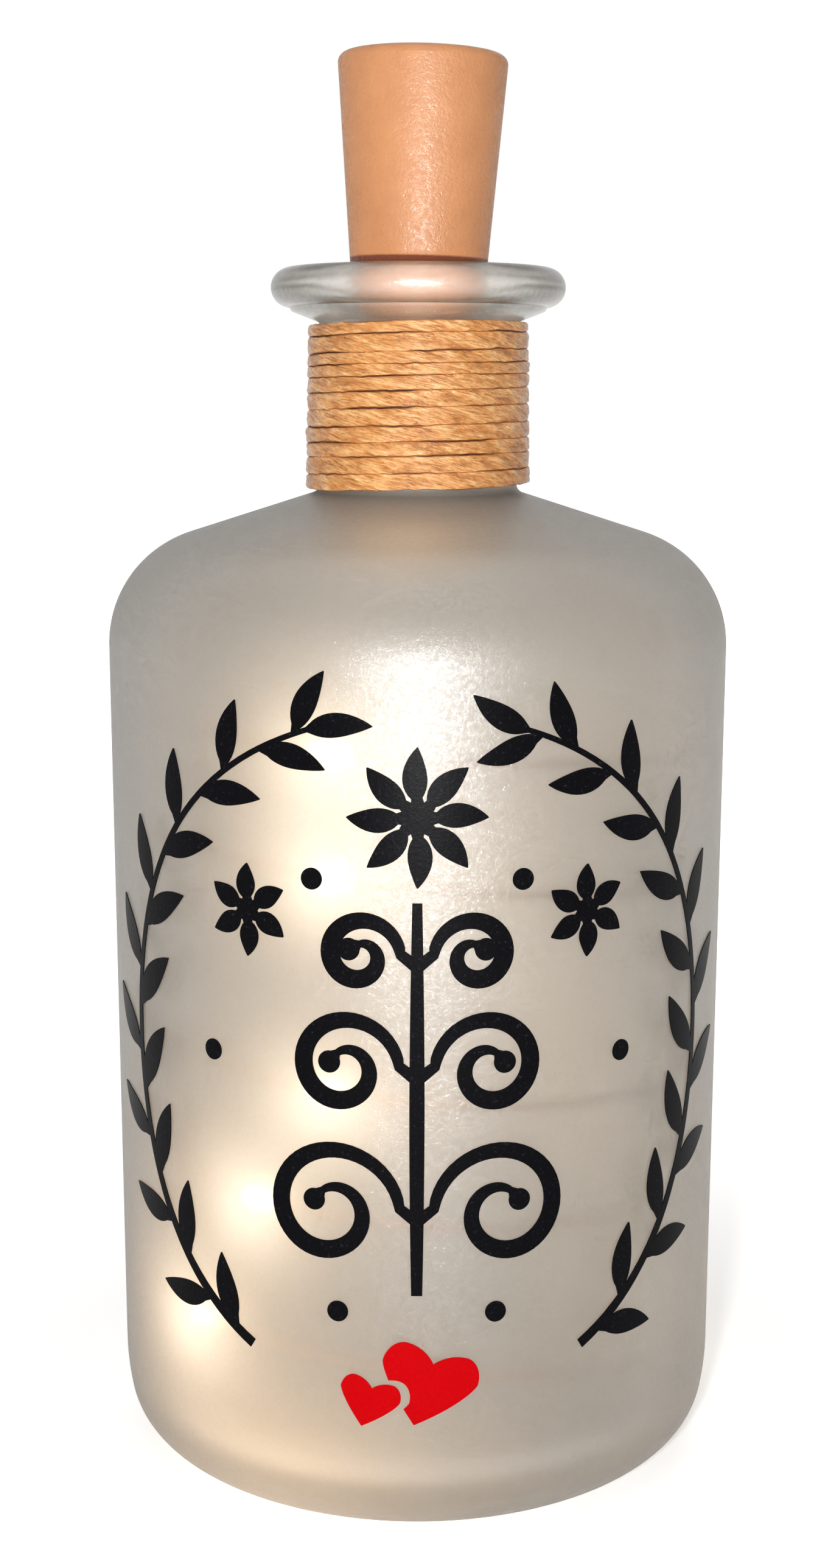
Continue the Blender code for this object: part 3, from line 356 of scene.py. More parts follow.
def painted_glow_round(tree, coords, places, reach):
    """Painted glow on the glass: strongest at each place, falling with distance."""
    total = 0.0
    for place in places:
        away = node(tree, "VectorMath", {0: coords, 1: place}, output="Value", operation="DISTANCE")
        share = maths(tree, "DIVIDE", away, reach)
        lifted = maths(tree, "ADD", maths(tree, "MULTIPLY", share, share), 1.0)
        total = maths(tree, "ADD", total, maths(tree, "POWER", lifted, -2.0))
    return total


def by_height(tree, coords, low, high):
    """Goes from low on the body to high on the lip, where the frosting is thinner."""
    return remap(tree, axis_of(tree, coords, "Z"), *CLEAR_ABOVE, low, high)


def frosted_glass(led_places):
    def dress(tree, coords):
        cloud = noise_of(tree, coords, 28.0, 3.0)
        grain = noise_of(tree, coords, 3200.0, 2.0, 0.7)
        pits = noise_of(tree, coords, 900.0)
        sparkle = noise_of(tree, coords, 1500.0, 3.0, 0.85)
        facing = node(tree, "LayerWeight", {"Blend": 0.5}, output="Facing")
        gloss = remap(tree, sparkle, 0.42, 0.60, 0.07, 0.88)
        height = maths(tree, "ADD", grain, pits)
        height = maths(tree, "MULTIPLY", height, by_height(tree, coords, 1.0, 0.3))
        body = mixed(tree, remap(tree, facing, 0.45, 0.9), ramp(tree, cloud, *GLASS_BODY), GLASS_EDGE)
        lip = ramp(tree, facing, *GLASS_LIP)
        # Painted glow: emission painted on the glass round each LED bead, standing in for its light
        # spread through the frosting
        painted_halo = painted_glow_round(tree, coords, led_places, PAINTED_HALO_REACH)
        strength = maths(tree, "MULTIPLY", painted_halo, PAINTED_HALO_STRENGTH)
        # Two more painted glows, at the glass's foot and under the winding
        for glow in (FOOT_PAINTED_GLOW, NECK_PAINTED_GLOW):
            spot = painted_glow_round(tree, coords, [glow["place"]], glow["reach"])
            strength = maths(tree, "ADD", strength, maths(tree, "MULTIPLY", spot, glow["strength"]))
        rough = spread(tree, grain, 0.44, 0.56)
        return {"Base Color": mixed(tree, by_height(tree, coords, 0.0, 1.0), body, lip),
                "Roughness": maths(tree, "MULTIPLY", rough, by_height(tree, coords, 1.0, 0.5)),
                "Transmission Weight": by_height(tree, coords, 0.9, 0.86),
                "Normal": bumped(tree, height, 0.008 * MM),
                "Coat Weight": maths(tree, "MULTIPLY", gloss, spread(tree, facing, 1.0, 0.1)),
                "Coat Normal": bumped(tree, sparkle, 0.14 * MM),
                "Emission Color": ramp(tree, painted_halo, *GLASS_PAINTED_GLOW),
                "Emission Strength": strength}

    constants = {"IOR": 1.46, "Specular IOR Level": 0.2, "Coat Roughness": 0.22, "Coat IOR": 1.5}
    return finish_of("frosted_glass", constants, dress)


def paper_cord():
    """Creased paper. One UV map runs along the fibres, the other tells how deep in a gap a point is,
    where painted shade darkens it.
    """

    def dress(tree, coords):
        lay = node(tree, "UVMap", uv_map="lay")
        fibre = lay_noise(tree, lay, 0.7, 5.0)
        crease = lay_noise(tree, lay, 0.22, 1.1, 0.55)
        fold = lay_noise(tree, lay, 0.3, 2.0)
        tone = remap(tree, maths(tree, "ADD", fibre, crease), 0.74, 1.26)
        away = maths(tree, "ABSOLUTE", maths(tree, "SUBTRACT", fold, 0.5))
        # Painted shade: fold lines and the paper deep in the gaps between turns are darkened where shade
        # falls
        line = remap(tree, away, 0.004, 0.022, 1.0, 0.0)
        line = maths(tree, "MULTIPLY", line, spread(tree, crease, 1.35, -0.45))
        line = spread(tree, line, 0.0, 0.62)
        gap = axis_of(tree, node(tree, "UVMap", uv_map="gap"), "X")
        depth = remap(tree, maths(tree, "MULTIPLY", gap, fibre), 0.14, 0.45, 0.0, 0.92)
        dark = maths(tree, "MAXIMUM", line, depth)
        height = maths(tree, "ADD", maths(tree, "MULTIPLY", crease, 1.7), fibre)
        height = maths(tree, "SUBTRACT", height, maths(tree, "MULTIPLY", line, 0.3))
        return {"Base Color": mixed(tree, dark, ramp(tree, tone, *PAPER), PAPER_PAINTED_SHADE),
                "Roughness": spread(tree, fibre, 0.22, 0.36),
                "Normal": bumped(tree, height, 0.34 * MM)}

    return finish_of("paper_cord", {"Specular IOR Level": 0.46}, dress)


def vinyl(name):
    """Cut vinyl: flat colour with a fine speckle of pigment that catches the light."""

    def dress(tree, coords):
        grain = noise_of(tree, coords, 2600.0, 2.0, 0.8)
        cloud = noise_of(tree, coords, 90.0)
        return {"Base Color": ramp(tree, grain, *VINYLS[name]),
                "Roughness": spread(tree, grain, 0.26, 0.42),
                "Normal": bumped(tree, maths(tree, "ADD", grain, cloud), 0.020 * MM)}

    return finish_of(name, {"Specular IOR Level": 0.025}, dress)


def cork_plastic():
    def dress(tree, coords):
        peel = noise_of(tree, coords, 1700.0, 3.0, 0.75)
        swirl = noise_of(tree, coords, 190.0, 4.0, 0.6)
        # Painted shadow: a dark line round the stopper where it meets the mouth
        away = maths(tree, "SUBTRACT", axis_of(tree, coords, "Z"), SEAT_SHADOW["z"])
        away = maths(tree, "ABSOLUTE", away)
        ring = remap(tree, away, SEAT_SHADOW["full"], SEAT_SHADOW["faded"], 0.9, 0.0)
        return {"Base Color": mixed(tree, ring, ramp(tree, swirl, *CORK), CORK_SEAT_SHADOW),
                "Roughness": remap(tree, peel, 0.35, 0.65, 0.26, 0.66),
                "Normal": bumped(tree, maths(tree, "ADD", peel, swirl), 0.12 * MM)}

    return finish_of("cork_plastic", {"Specular IOR Level": 0.42}, dress)


def led_resin():
    def dress(tree, coords):
        cloud = noise_of(tree, coords, 700.0)
        return {"Base Color": ramp(tree, cloud, *RESIN),
                "Emission Color": ramp(tree, cloud, *RESIN_GLOW),
                "Normal": bumped(tree, cloud, 0.02 * MM)}

    return finish_of("led_resin", {"Roughness": 0.2, "Emission Strength": 2.5}, dress)


# Mesh helpers

def arc(centre, radius, start, end, steps):
    """Points of an arc in the (r, z) plane, with angles in degrees from +r towards +z."""
    angles = [radians(start + (end - start) * i / steps) for i in range(steps + 1)]
    return [(centre[0] + radius * cos(a), centre[1] + radius * sin(a)) for a in angles]


def placed(name, data):
    """A new object in the scene."""
    obj = bpy.data.objects.new(name, data)
    bpy.context.scene.collection.objects.link(obj)
    return obj


def object_of(name, bm, material, smooth=True):
    """Turns the bmesh into a named object whose faces point out."""
    bmesh.ops.recalc_face_normals(bm, faces=bm.faces)
    if bm.calc_volume(signed=True) < 0:
        bmesh.ops.reverse_faces(bm, faces=bm.faces)
    mesh = bpy.data.meshes.new(name)
    bm.to_mesh(mesh)
    bm.free()
    mesh.materials.append(material)
    if smooth:
        mesh.shade_smooth()
        mesh.set_sharp_from_angle(angle=SHARP_ANGLE)
    return placed(name, mesh)


def turned(outline, segments=ROUND_SEGMENTS):
    """Spins a half section round Z. Ends on the axis close there, and a ring's outline closes itself."""
    bm = bmesh.new()
    on_axis = outline[0][0] == 0.0 and outline[-1][0] == 0.0
    verts = [bm.verts.new((r, 0.0, z)) for r, z in outline]
    pairs = list(zip(verts, verts[1:]))
    if not on_axis:
        pairs.append((verts[-1], verts[0]))
    edges = [bm.edges.new(pair) for pair in pairs]
    bmesh.ops.spin(bm, geom=verts + edges, axis=(0, 0, 1), cent=(0, 0, 0), steps=segments,
                   angle=2 * pi, use_merge=False)
    bmesh.ops.remove_doubles(bm, verts=bm.verts, dist=1e-6)
    return bm


def rounded(corners, radius=EDGE, steps=4):
    """Rounds the inner corners of an open outline with small arcs."""
    points = [corners[0]]
    for before, corner, after in zip(corners, corners[1:], corners[2:]):
        b, c, a = Vector(before), Vector(corner), Vector(after)
        reach = min(radius, (b - c).length * 0.45, (a - c).length * 0.45)
        start, end = c + (b - c).normalized() * reach, c + (a - c).normalized() * reach
        for k in range(steps + 1):
            t = k / steps
            points.append(tuple(start * (1 - t) ** 2 + c * 2 * t * (1 - t) + end * t * t))
    return [*points, corners[-1]]


def box(low, high):
    bm = bmesh.new()
    size = Vector(high) - Vector(low)
    place = Matrix.Translation((Vector(high) + Vector(low)) / 2) @ Matrix.Diagonal((*size, 1.0))
    bmesh.ops.create_cube(bm, size=1.0, matrix=place)
    return bm


def carved(target, *cutters):
    """Cuts the cutters out of the target and keeps the result as plain mesh."""
    made = []
    for bm in cutters:
        made.append(object_of("cutter", bm, target.data.materials[0], smooth=False))
        modifier = target.modifiers.new("cut", "BOOLEAN")
        modifier.operation = "DIFFERENCE"
        modifier.solver = "EXACT"
        modifier.object = made[-1]
    graph = bpy.context.evaluated_depsgraph_get()
    mesh = bpy.data.meshes.new_from_object(target.evaluated_get(graph))
    for cutter in made:
        bpy.data.objects.remove(cutter, do_unlink=True)
    target.modifiers.clear()
    target.data = mesh
    mesh.shade_smooth()
    mesh.set_sharp_from_angle(angle=SHARP_ANGLE)
    return target


def kept(obj, body, cad_node):
    """Makes a piece ride on a body and stand for a CAD node, which it hides."""
    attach(obj, body)
    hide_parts(cad_node)


def length_of(points):
    return sum((b - a).length for a, b in zip(points, points[1:]))


def smooth_route(route, step):
    """Even points on a smooth curve through a few route points (Catmull-Rom)."""
    ends = [route[0] * 2 - route[1], *route, route[-1] * 2 - route[-2]]
    dense = []
    for p0, p1, p2, p3 in zip(ends, ends[1:], ends[2:], ends[3:]):
        for k in range(20):
            t = k / 20
            dense.append(0.5 * (2 * p1 + (p2 - p0) * t + (2 * p0 - 5 * p1 + 4 * p2 - p3) * t ** 2
                                + (3 * p1 - p0 - 3 * p2 + p3) * t ** 3))
    dense.append(route[-1])
    length = length_of(dense)
    count = round(length / step)
    points = [dense[0]]
    run = 0.0
    for a, b in zip(dense, dense[1:]):
        run += (b - a).length
        if run >= length / count * len(points) and len(points) < count:
            points.append(b)
    return [*points, dense[-1]]


# Camera, floor and light

def build_camera():
    data = bpy.data.cameras.new("camera")
    data.lens = CAMERA_LENS
    data.sensor_width = 36.0
    data.clip_start = 0.01
    data.clip_end = 50.0
    camera = placed("camera", data)
    camera.location = CAMERA_PLACE
    camera.rotation_euler = [radians(a) for a in CAMERA_TURN]
    bpy.context.scene.camera = camera


def seen_directly(tree):
    """1 for rays that see a surface straight, mirrored or through glass, else 0."""
    path = tree.nodes.new("ShaderNodeLightPath").outputs
    either = maths(tree, "MAXIMUM", path["Is Camera Ray"], path["Is Glossy Ray"])
    return maths(tree, "MAXIMUM", either, path["Is Transmission Ray"])


def build_world():
    world = bpy.data.worlds.new("studio")
    bpy.context.scene.world = world
    world.use_nodes = True
    tree = world.node_tree
    tree.nodes.clear()
    ambient = node(tree, "Background", {"Color": (1.0, 0.985, 0.96, 1.0), "Strength": AMBIENT})
    white = node(tree, "Background", {"Color": (1.0, 1.0, 1.0, 1.0)})
    shown = node(tree, "MixShader", {0: seen_directly(tree), 1: ambient, 2: white})
    output = tree.nodes.new("ShaderNodeOutputWorld")
    tree.links.new(shown, output.inputs["Surface"])


def build_floor():
    bm = bmesh.new()
    bmesh.ops.create_grid(bm, x_segments=8, y_segments=8, size=4.0)

    def dress(tree, coords):
        cloud = noise_of(tree, coords, 6.0)
        away = node(tree, "VectorMath", {0: coords}, output="Value", operation="LENGTH")
        fade = remap(tree, away, *FLOOR_FADE, 0.45, 1.0)
        return {"Base Color": ramp(tree, cloud, *FLOOR_WHITE),
                "Emission Strength": maths(tree, "MULTIPLY", seen_directly(tree), fade)}

    constants = {"Roughness": 0.9, "Specular IOR Level": 0.2, "Emission Color": (1.0, 1.0, 1.0, 1.0)}
    material = finish_of("floor", constants, dress)
    floor = object_of("floor", bm, material)
    floor.location.z = -0.05 * MM


def area_light(name, place, aim, size, power, colour=(1.0, 1.0, 1.0), diffuse=True, gloss=True,
               glass=True):
    """A round lamp, with its size in metres and its power in watts."""
    data = bpy.data.lights.new(name, "AREA")
    data.shape = "DISK"
    data.size = size
    data.energy = power
    data.color = colour
    light = placed(name, data)
    light.location = place
    light.rotation_euler = (Vector(aim) - Vector(place)).to_track_quat("-Z", "Y").to_euler()
    light.visible_diffuse = diffuse
    light.visible_transmission = diffuse and glass
    light.visible_glossy = gloss


def build_lights():
    middle = (0.0, 0.0, 80 * MM)
    area_light("flash", FLASH_PLACE, (0.0, 0.0, 110 * MM), 20 * MM, 0.80, gloss=False)
    area_light("flash_glint", GLINT_PLACE, (0.0, 0.0, 90 * MM), 30 * MM, 1.8, diffuse=False)
    area_light("left_softbox", (-0.8, -0.6, 0.5), middle, 0.5, 0.6, WARM_WHITE)
    area_light("right_softbox", (0.8, -0.6, 0.5), middle, 0.5, 0.15, WARM_WHITE)
    area_light("top_softbox", (0.0, -0.2, 1.0), middle, 0.8, 2.0)
    area_light("back_softbox", (0.25, 1.0, 0.7), middle, 0.6, 2.5, WARM_WHITE, gloss=False,
               glass=False)


# LED string

def eased(knots, at):
    """Height at an angle, on a smooth curve through (angle, height) knots that never overshoots."""
    slopes = [(b[1] - a[1]) / (b[0] - a[0]) for a, b in zip(knots, knots[1:])]
    tangents = [slopes[0], *[2 * p * q / (p + q) for p, q in zip(slopes, slopes[1:])], slopes[-1]]
    for i, (a, b) in enumerate(zip(knots, knots[1:])):
        if at <= b[0] or b is knots[-1]:
            span = b[0] - a[0]
            t = (at - a[0]) / span
            return ((1 + 2 * t) * (1 - t) ** 2 * a[1] + t * (1 - t) ** 2 * span * tangents[i]
                    + t * t * (3 - 2 * t) * b[1] + t * t * (t - 1) * span * tangents[i + 1])


def coil_point(degrees):
    angle = radians(degrees)
    height = eased(COIL_HEIGHTS, degrees) * MM
    return Vector((COIL_R * sin(angle), -COIL_R * cos(angle), height))


def bead_middle(number):
    """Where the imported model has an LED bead."""
    low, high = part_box(f"led_bead_{number:02d}")
    return (low + high) / 2


def wire_tube(name, points, material, sides=12):
    """The string's wire along points, as a round mesh tube with closed ends."""
    bm = bmesh.new()
    rings = []
    up = Vector((0, 0, 1))
    for i, point in enumerate(points):
        along = (points[min(i + 1, len(points) - 1)] - points[max(i - 1, 0)]).normalized()
        side = along.cross(up)
        side = side.normalized() if side.length > 1e-3 else Vector((0, 1, 0))
        other = side.cross(along)
        ring = []
        for k in range(sides):
            a = 2 * pi * k / sides
            ring.append(bm.verts.new(point + (side * cos(a) + other * sin(a)) * WIRE_D / 2))
        rings.append(ring)
    for low, high in zip(rings, rings[1:]):
        for k in range(sides):
            bm.faces.new((low[k - 1], low[k], high[k], high[k - 1]))
    bm.faces.new(rings[0])
    bm.faces.new(rings[-1])
    return object_of(name, bm, material)


def build_led_string(copper):
    count = round(COIL_SWEEP / COIL_STEP)
    turns = [coil_point(COIL_START_ANGLE + COIL_STEP * k) for k in range(count + 1)]
    curve = bpy.data.curves.new("led_wire", "CURVE")
    curve.dimensions = "3D"
    spline = curve.splines.new("POLY")
    spline.points.add(count)
    for target, point in zip(spline.points, turns):
        target.co = (*point, 1.0)
    curve.bevel_depth = WIRE_D / 2
    curve.bevel_resolution = 3
    curve.use_fill_caps = True
    curve.materials.append(copper)
    coil = placed("led_wire", curve)
    kept(coil, "bottle", "led_wire_coil")
    resin = led_resin()
    half = LED_LENGTH / 2
    upper = [(LED_R * 0.88, half * 0.42), (LED_R * 0.62, half * 0.72), (0.62 * MM, half * 0.93),
             (0.42 * MM, half), (0.0, half)]
    outline = [*((r, -z) for r, z in reversed(upper)), (LED_R, 0.0), *upper]
    for number in range(1, LED_COUNT + 1):
        middle = bead_middle(number)
        bead = object_of(f"led_{number:02d}", turned(outline, 24), resin)
        bead.location = middle
        tangent = Vector((-middle.y, middle.x, 0.0)).normalized()
        bead.rotation_euler = tangent.to_track_quat("Z", "Y").to_euler()
        kept(bead, "bottle", f"led_bead_{number:02d}")
    build_lead(copper, turns)


def build_lead(copper, turns):
    """The stretch of wire from the stopper to the coil."""
    route = [Vector(p) * MM for p in LEAD_ROUTE]
    start = (turns[0] - turns[1]).normalized()
    route += [turns[0] + start * 3.0 * MM, turns[0]]
    points = smooth_route(route, 0.5 * MM)
    lead = wire_tube("led_lead_wire", points, copper)
    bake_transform(lead)
    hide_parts("led_lead")


# Bottle

def chained_arcs(start, arcs, steps):
    """Points of tangent arcs that leave start straight down and turn towards the axis."""
    angle = 0.0
    r, z = start
    points = [start]
    for radius, turn in arcs:
        for _ in range(steps):
            before = radians(angle)
            angle += turn / steps
            after = radians(angle)
            r -= radius * (cos(before) - cos(after))
            z -= radius * (sin(after) - sin(before))
            points.append((r, z))
    return points


def heel():
    """Outer heel from the resting ring up to the wall, with its lowest point on the ground."""
    points = chained_arcs((FOOT_R, 0.0), HEEL_ARCS, 14)
    drop = points[-1][1]
    return [(r, z - drop) for r, z in reversed(points)]


def glass_outline():
    """Half section, from the underside's centre round the outside to the floor's centre."""
    slope = radians(CONE_SLOPE)
    punt = [(RING_INNER_R * k / 10, PUNT_HEIGHT * (1 - (k / 10) ** 2)) for k in range(11)]
    shoulder_centre = (BODY_R - SHOULDER_ARC_R, SHOULDER_Z)
    shoulder = arc(shoulder_centre, SHOULDER_ARC_R, 0, 90 - CONE_SLOPE, 32)
    cone_r, cone_z = shoulder[-1]
    fillet_r = NECK_FOOT_R + NECK_FOOT_FILLET * (1 - sin(slope))
    fillet_z = cone_z + (cone_r - fillet_r) * tan(slope) + NECK_FOOT_FILLET * cos(slope)
    neck_foot_centre = (NECK_FOOT_R + NECK_FOOT_FILLET, fillet_z)
    neck_foot = arc(neck_foot_centre, NECK_FOOT_FILLET, 270 - CONE_SLOPE, 180, 10)
    lip_fillet = arc((NECK_TOP_R + LIP_FILLET, NECK_TOP_Z), LIP_FILLET, 180, 123, 8)
    roll = arc(LIP_ROLL_CENTRE, LIP_ROLL_R, -86, 90, 28)
    mouth = arc((MOUTH_R + MOUTH_ROUND, MOUTH_TOP_Z - MOUTH_ROUND), MOUTH_ROUND, 90, 180, 8)
    inner_slope_z = cone_z + (cone_r - BORE_R) * tan(slope) - WALL / cos(slope)
    corner_r = BORE_R + INNER_CORNER_R
    corner_z = inner_slope_z + INNER_CORNER_R / cos(slope) - INNER_CORNER_R * tan(slope)
    corner = arc((corner_r, corner_z), INNER_CORNER_R, 180, 270 - CONE_SLOPE, 10)
    inner_shoulder = arc(shoulder_centre, SHOULDER_ARC_R - WALL, 90 - CONE_SLOPE, 0, 24)
    inner_heel_centre = (INNER_FOOT_R - INNER_HEEL_R, FLOOR_EDGE_Z + INNER_HEEL_R)
    inner_heel = arc(inner_heel_centre, INNER_HEEL_R, 0, -90, 16)
    return [*punt, *heel(), *shoulder, *neck_foot, *lip_fillet, LIP_CREASE, *roll, *mouth,
            (BORE_R, BORE_TAPER_END_Z), *corner, *inner_shoulder, *inner_heel, (0.0, FLOOR_CENTRE_Z)]


def build_glass():
    places = [bead_middle(number) for number in range(1, LED_COUNT + 1)]
    glass = object_of("bottle_glass", turned(glass_outline(), GLASS_SEGMENTS), frosted_glass(places))
    kept(glass, "bottle", "glass_bottle")


def ripple(x, y, z):
    """Smooth noise round zero."""
    return noise.noise(Vector((x, y, z)))


def clamped(value):
    return min(1.0, max(0.0, value))


def twine_edge(turn):
    """Height of the strand's lower edge at a turn, where the turn below ends."""
    front = (360 - TWINE_START_ANGLE) / 360
    knots = [(n + front, z) for n, z in enumerate(TWINE_EDGES)]
    knots = [(front - 1, TWINE_EDGES[0] - TWINE_PITCH), *knots]
    knots.append((len(TWINE_EDGES) + front, TWINE_EDGES[-1] + TWINE_PITCH))
    wander = sum(size * ripple(turn * pace, seed, 0.0) for size, pace, seed in EDGE_WAVES)
    low, high = TWINE_LIMITS
    return min(max(eased(knots, turn) * MM + wander, low), high)


def gap_openness(turn):
    """How far two turns stand apart there, from 0 where they are pressed together to 1."""
    return clamped(0.6 + 2.2 * ripple(turn * 9.0, 21.0, 4.0))


def build_twine():
    """Flat strand of creased paper wound up the neck, with turns of uneven height."""
    count = round(TWINE_TURNS * TWINE_STEPS)
    outer, inner = TWINE_COLUMNS
    angles = [-pi / 2 + pi * k / outer for k in range(outer)]
    angles += [pi / 2 + pi * k / inner for k in range(inner)]
    slant = radians(FIBRE_SLANT)
    bm = bmesh.new()
    lay_layer = bm.loops.layers.uv.new("lay")
    gap_shade_layer = bm.loops.layers.uv.new("gap")
    rings = []
    marks = []
    for i in range(count + 1):
        turn = i / TWINE_STEPS
        angle = radians(TWINE_START_ANGLE + 360 * turn)
        neck_r = NECK_FOOT_R + (NECK_TOP_R - NECK_FOOT_R) * i / count
        along = turn * 2 * pi * (neck_r + TWINE_DEPTH) / MM
        low, high = twine_edge(turn), twine_edge(turn + 1)
        openness = gap_openness(turn), gap_openness(turn + 1)
        thin = min(1.0, TWINE_TAPER[0] + min(i, count - i) / TWINE_TAPER[1])
        half_z = (high - low) / 2 * (0.985 + 0.03 * (1 - min(openness))) * thin
        half_x = TWINE_DEPTH / 2 * (1 + 0.07 * ripple(along / 7.0, 9.0, 0.0)) * thin
        out = Vector((sin(angle), -cos(angle), 0.0))
        centre = out * (neck_r + TWINE_CLEARANCE + half_x) + Vector((0, 0, (low + high) / 2))
        ring = []
        row = []
        for a in angles:
            gap = openness[1] if sin(a) > 0 else openness[0]
            power = CORNER_POWER[0] + CORNER_POWER[1] * (1 - gap)
            flat = (abs(cos(a)) ** power + abs(sin(a)) ** power) ** (-1 / power)
            across = a * half_z / MM * 0.9
            p = along * cos(slant) - across * sin(slant)
            q = along * sin(slant) + across * cos(slant)
            crease = sum(size * ripple(q / width, p / length, seed)
                         for size, width, length, seed in CREASES)
            puff = ripple(along / 3.1, across / 1.4, 11.0)
            x = cos(a) * half_x * flat * (1 + CREASE_SHARE[0] * crease + PUFF_SHARE * puff)
            z = sin(a) * half_z * flat * (1 + CREASE_SHARE[1] * crease)
            ring.append(bm.verts.new(centre + out * x + Vector((0, 0, z))))
            # How deep in a gap a point lies; the cord's material paints shade there
            share = clamped((abs(sin(a) * flat) - GAP_FROM[0]) / GAP_FROM[1])
            row.append((p, q, share * gap))
        rings.append(ring)
        marks.append(row)
    columns = len(angles)
    for i, (low, high) in enumerate(zip(rings, rings[1:])):
        for k in range(columns):
            after = (k + 1) % columns
            face = bm.faces.new((low[k], low[after], high[after], high[k]))
            corners = ((i, k), (i, after), (i + 1, after), (i + 1, k))
            for loop, (row, column) in zip(face.loops, corners):
                p, q, gap = marks[row][column]
                loop[lay_layer].uv = (p, q)
                loop[gap_shade_layer].uv = (gap, 0.0)
    bm.faces.new(rings[0])
    bm.faces.new(rings[-1])
    twine = object_of("twine_winding", bm, paper_cord())
    kept(twine, "bottle", "neck_twine")


# Vinyl decoration

def glass_r(z):
    """Outer radius of the nearly straight wall at a height."""
    return FOOT_R + (BODY_R - FOOT_R) * z / SHOULDER_Z


def laid(name, bm, material, lift=VINYL_LIFT, thickness=VINYL_THICKNESS):
    """Thickens a flat drawing and lays it round the glass, lift above its surface."""
    reach = [vert.co.x for vert in bm.verts]
    first, last = ceil(min(reach) / WRAP_STEP), int(max(reach) // WRAP_STEP)
    for k in range(first, last + 1):
        bmesh.ops.bisect_plane(bm, geom=[*bm.verts, *bm.edges, *bm.faces], dist=1e-7,
                               plane_co=(k * WRAP_STEP, 0, 0), plane_no=(1, 0, 0))
    made = bmesh.ops.extrude_face_region(bm, geom=bm.faces[:])["geom"]
    upper = {v for v in made if isinstance(v, bmesh.types.BMVert)}
    for vert in bm.verts:
        r = glass_r(vert.co.y) + lift + (thickness if vert in upper else 0.0)
        angle = vert.co.x / BODY_R
        vert.co = (r * sin(angle), -r * cos(angle), vert.co.y)
    return object_of(name, bm, material, smooth=False)


def add_strip(bm, stations, root=None):
    """Draws a strip of quads through pairs of points, from a root pair if it has one."""
    rows = [root] if root else []
    rows += [[bm.verts.new((s, z, 0.0)) for s, z in pair] for pair in stations]
    for a, b in zip(rows, rows[1:]):
        bm.faces.new((a[0], a[1], b[1], b[0]))
    return rows


def stations_along(line, half_width):
    """Edge pairs along a drawn line, right edge first. half_width takes the share of the way along."""
    stations = []
    for i, point in enumerate(line):
        ahead, behind = line[min(i + 1, len(line) - 1)], line[max(i - 1, 0)]
        along = (ahead - behind).normalized()
        side = Vector((along.y, -along.x)) * max(half_width(i / (len(line) - 1)), VINYL_TIP_HALF)
        stations.append((point + side, point - side))
    return stations


def pointing(heading):
    """Unit vector in the drawing at an angle in radians from +s towards +z."""
    return Vector((cos(heading), sin(heading)))


def add_leaf(bm, root, heading, length, width):
    """Draws a pointed leaf that grows from the root pair of corners, right corner first."""
    start = (root[0].co.xy + root[1].co.xy) / 2
    along = pointing(heading)
    bow = Vector((-along.y, along.x)) * length * LEAF["bow"]
    shares = [k / LEAF["stations"] for k in range(LEAF["stations"] + 1)]
    line = [start + along * length * share + bow * sin(pi * share) for share in shares]
    root_half = (root[0].co.xy - root[1].co.xy).length / 2

    def half_width(t):
        blade = width / 2 * sin(pi * t ** 0.8) ** 0.8
        return max(blade, root_half * (1 - 4 * t))

    add_strip(bm, stations_along(line, half_width)[1:], root)


def draw_branch(side):
    """Leafy branch that frames the front, on the right for side 1 and on the left for side -1."""
    bm = bmesh.new()
    low, high = BRANCH["span"]

    def spot(share):
        u = radians(low + (high - low) * share)
        height = BRANCH["centre_z"] + BRANCH["half_height"] * sin(u)
        return Vector((side * BRANCH["half_width"] * cos(u), height))

    def heading_at(share):
        along = spot(share) - spot(share - 0.01)
        return atan2(along.y, along.x)

    root_share = BRANCH["leaf_root"] / length_of([spot(k / 50) for k in range(51)])
    first, last = BRANCH["leaf_shares"]
    leaves = []
    for k in range(BRANCH["leaf_pairs"]):
        share = first + (last - first) * k / (BRANCH["leaf_pairs"] - 1)
        leaves += [(share, -1), (share + BRANCH["stagger"], 1)]
    roots = [s for share, _ in leaves for s in (share, share + root_share)]
    between = [k / 60 for k in range(61) if all(abs(k / 60 - s) > 0.006 for s in roots)
               and not any(s < k / 60 < s + root_share for s, _ in leaves)]
    shares = sorted({0.0, 1.0, *roots, *between})
    line = [spot(share) for share in shares]
    rows = add_strip(bm, stations_along(line, lambda t: BRANCH["stem_half"] * (1 - BRANCH["taper"] * t)))
    for share, hand in leaves:
        near = rows[shares.index(share)]
        far = rows[shares.index(share) + 1]
        heading = heading_at(share) + hand * radians(LEAF["lean"])
        scale = 1 - LEAF["shrink"] * abs(share - LEAF["fullest"])
        root = (far[1], near[1]) if hand > 0 else (near[0], far[0])
        add_leaf(bm, root, heading, LEAF["length"] * scale, LEAF["width"] * scale)
    tip_heading = heading_at(1.0) - radians(LEAF["tip_turn"])
    scale = LEAF["tip_scale"]
    add_leaf(bm, rows[-1], tip_heading, LEAF["length"] * scale, LEAF["width"] * scale)
    return bm


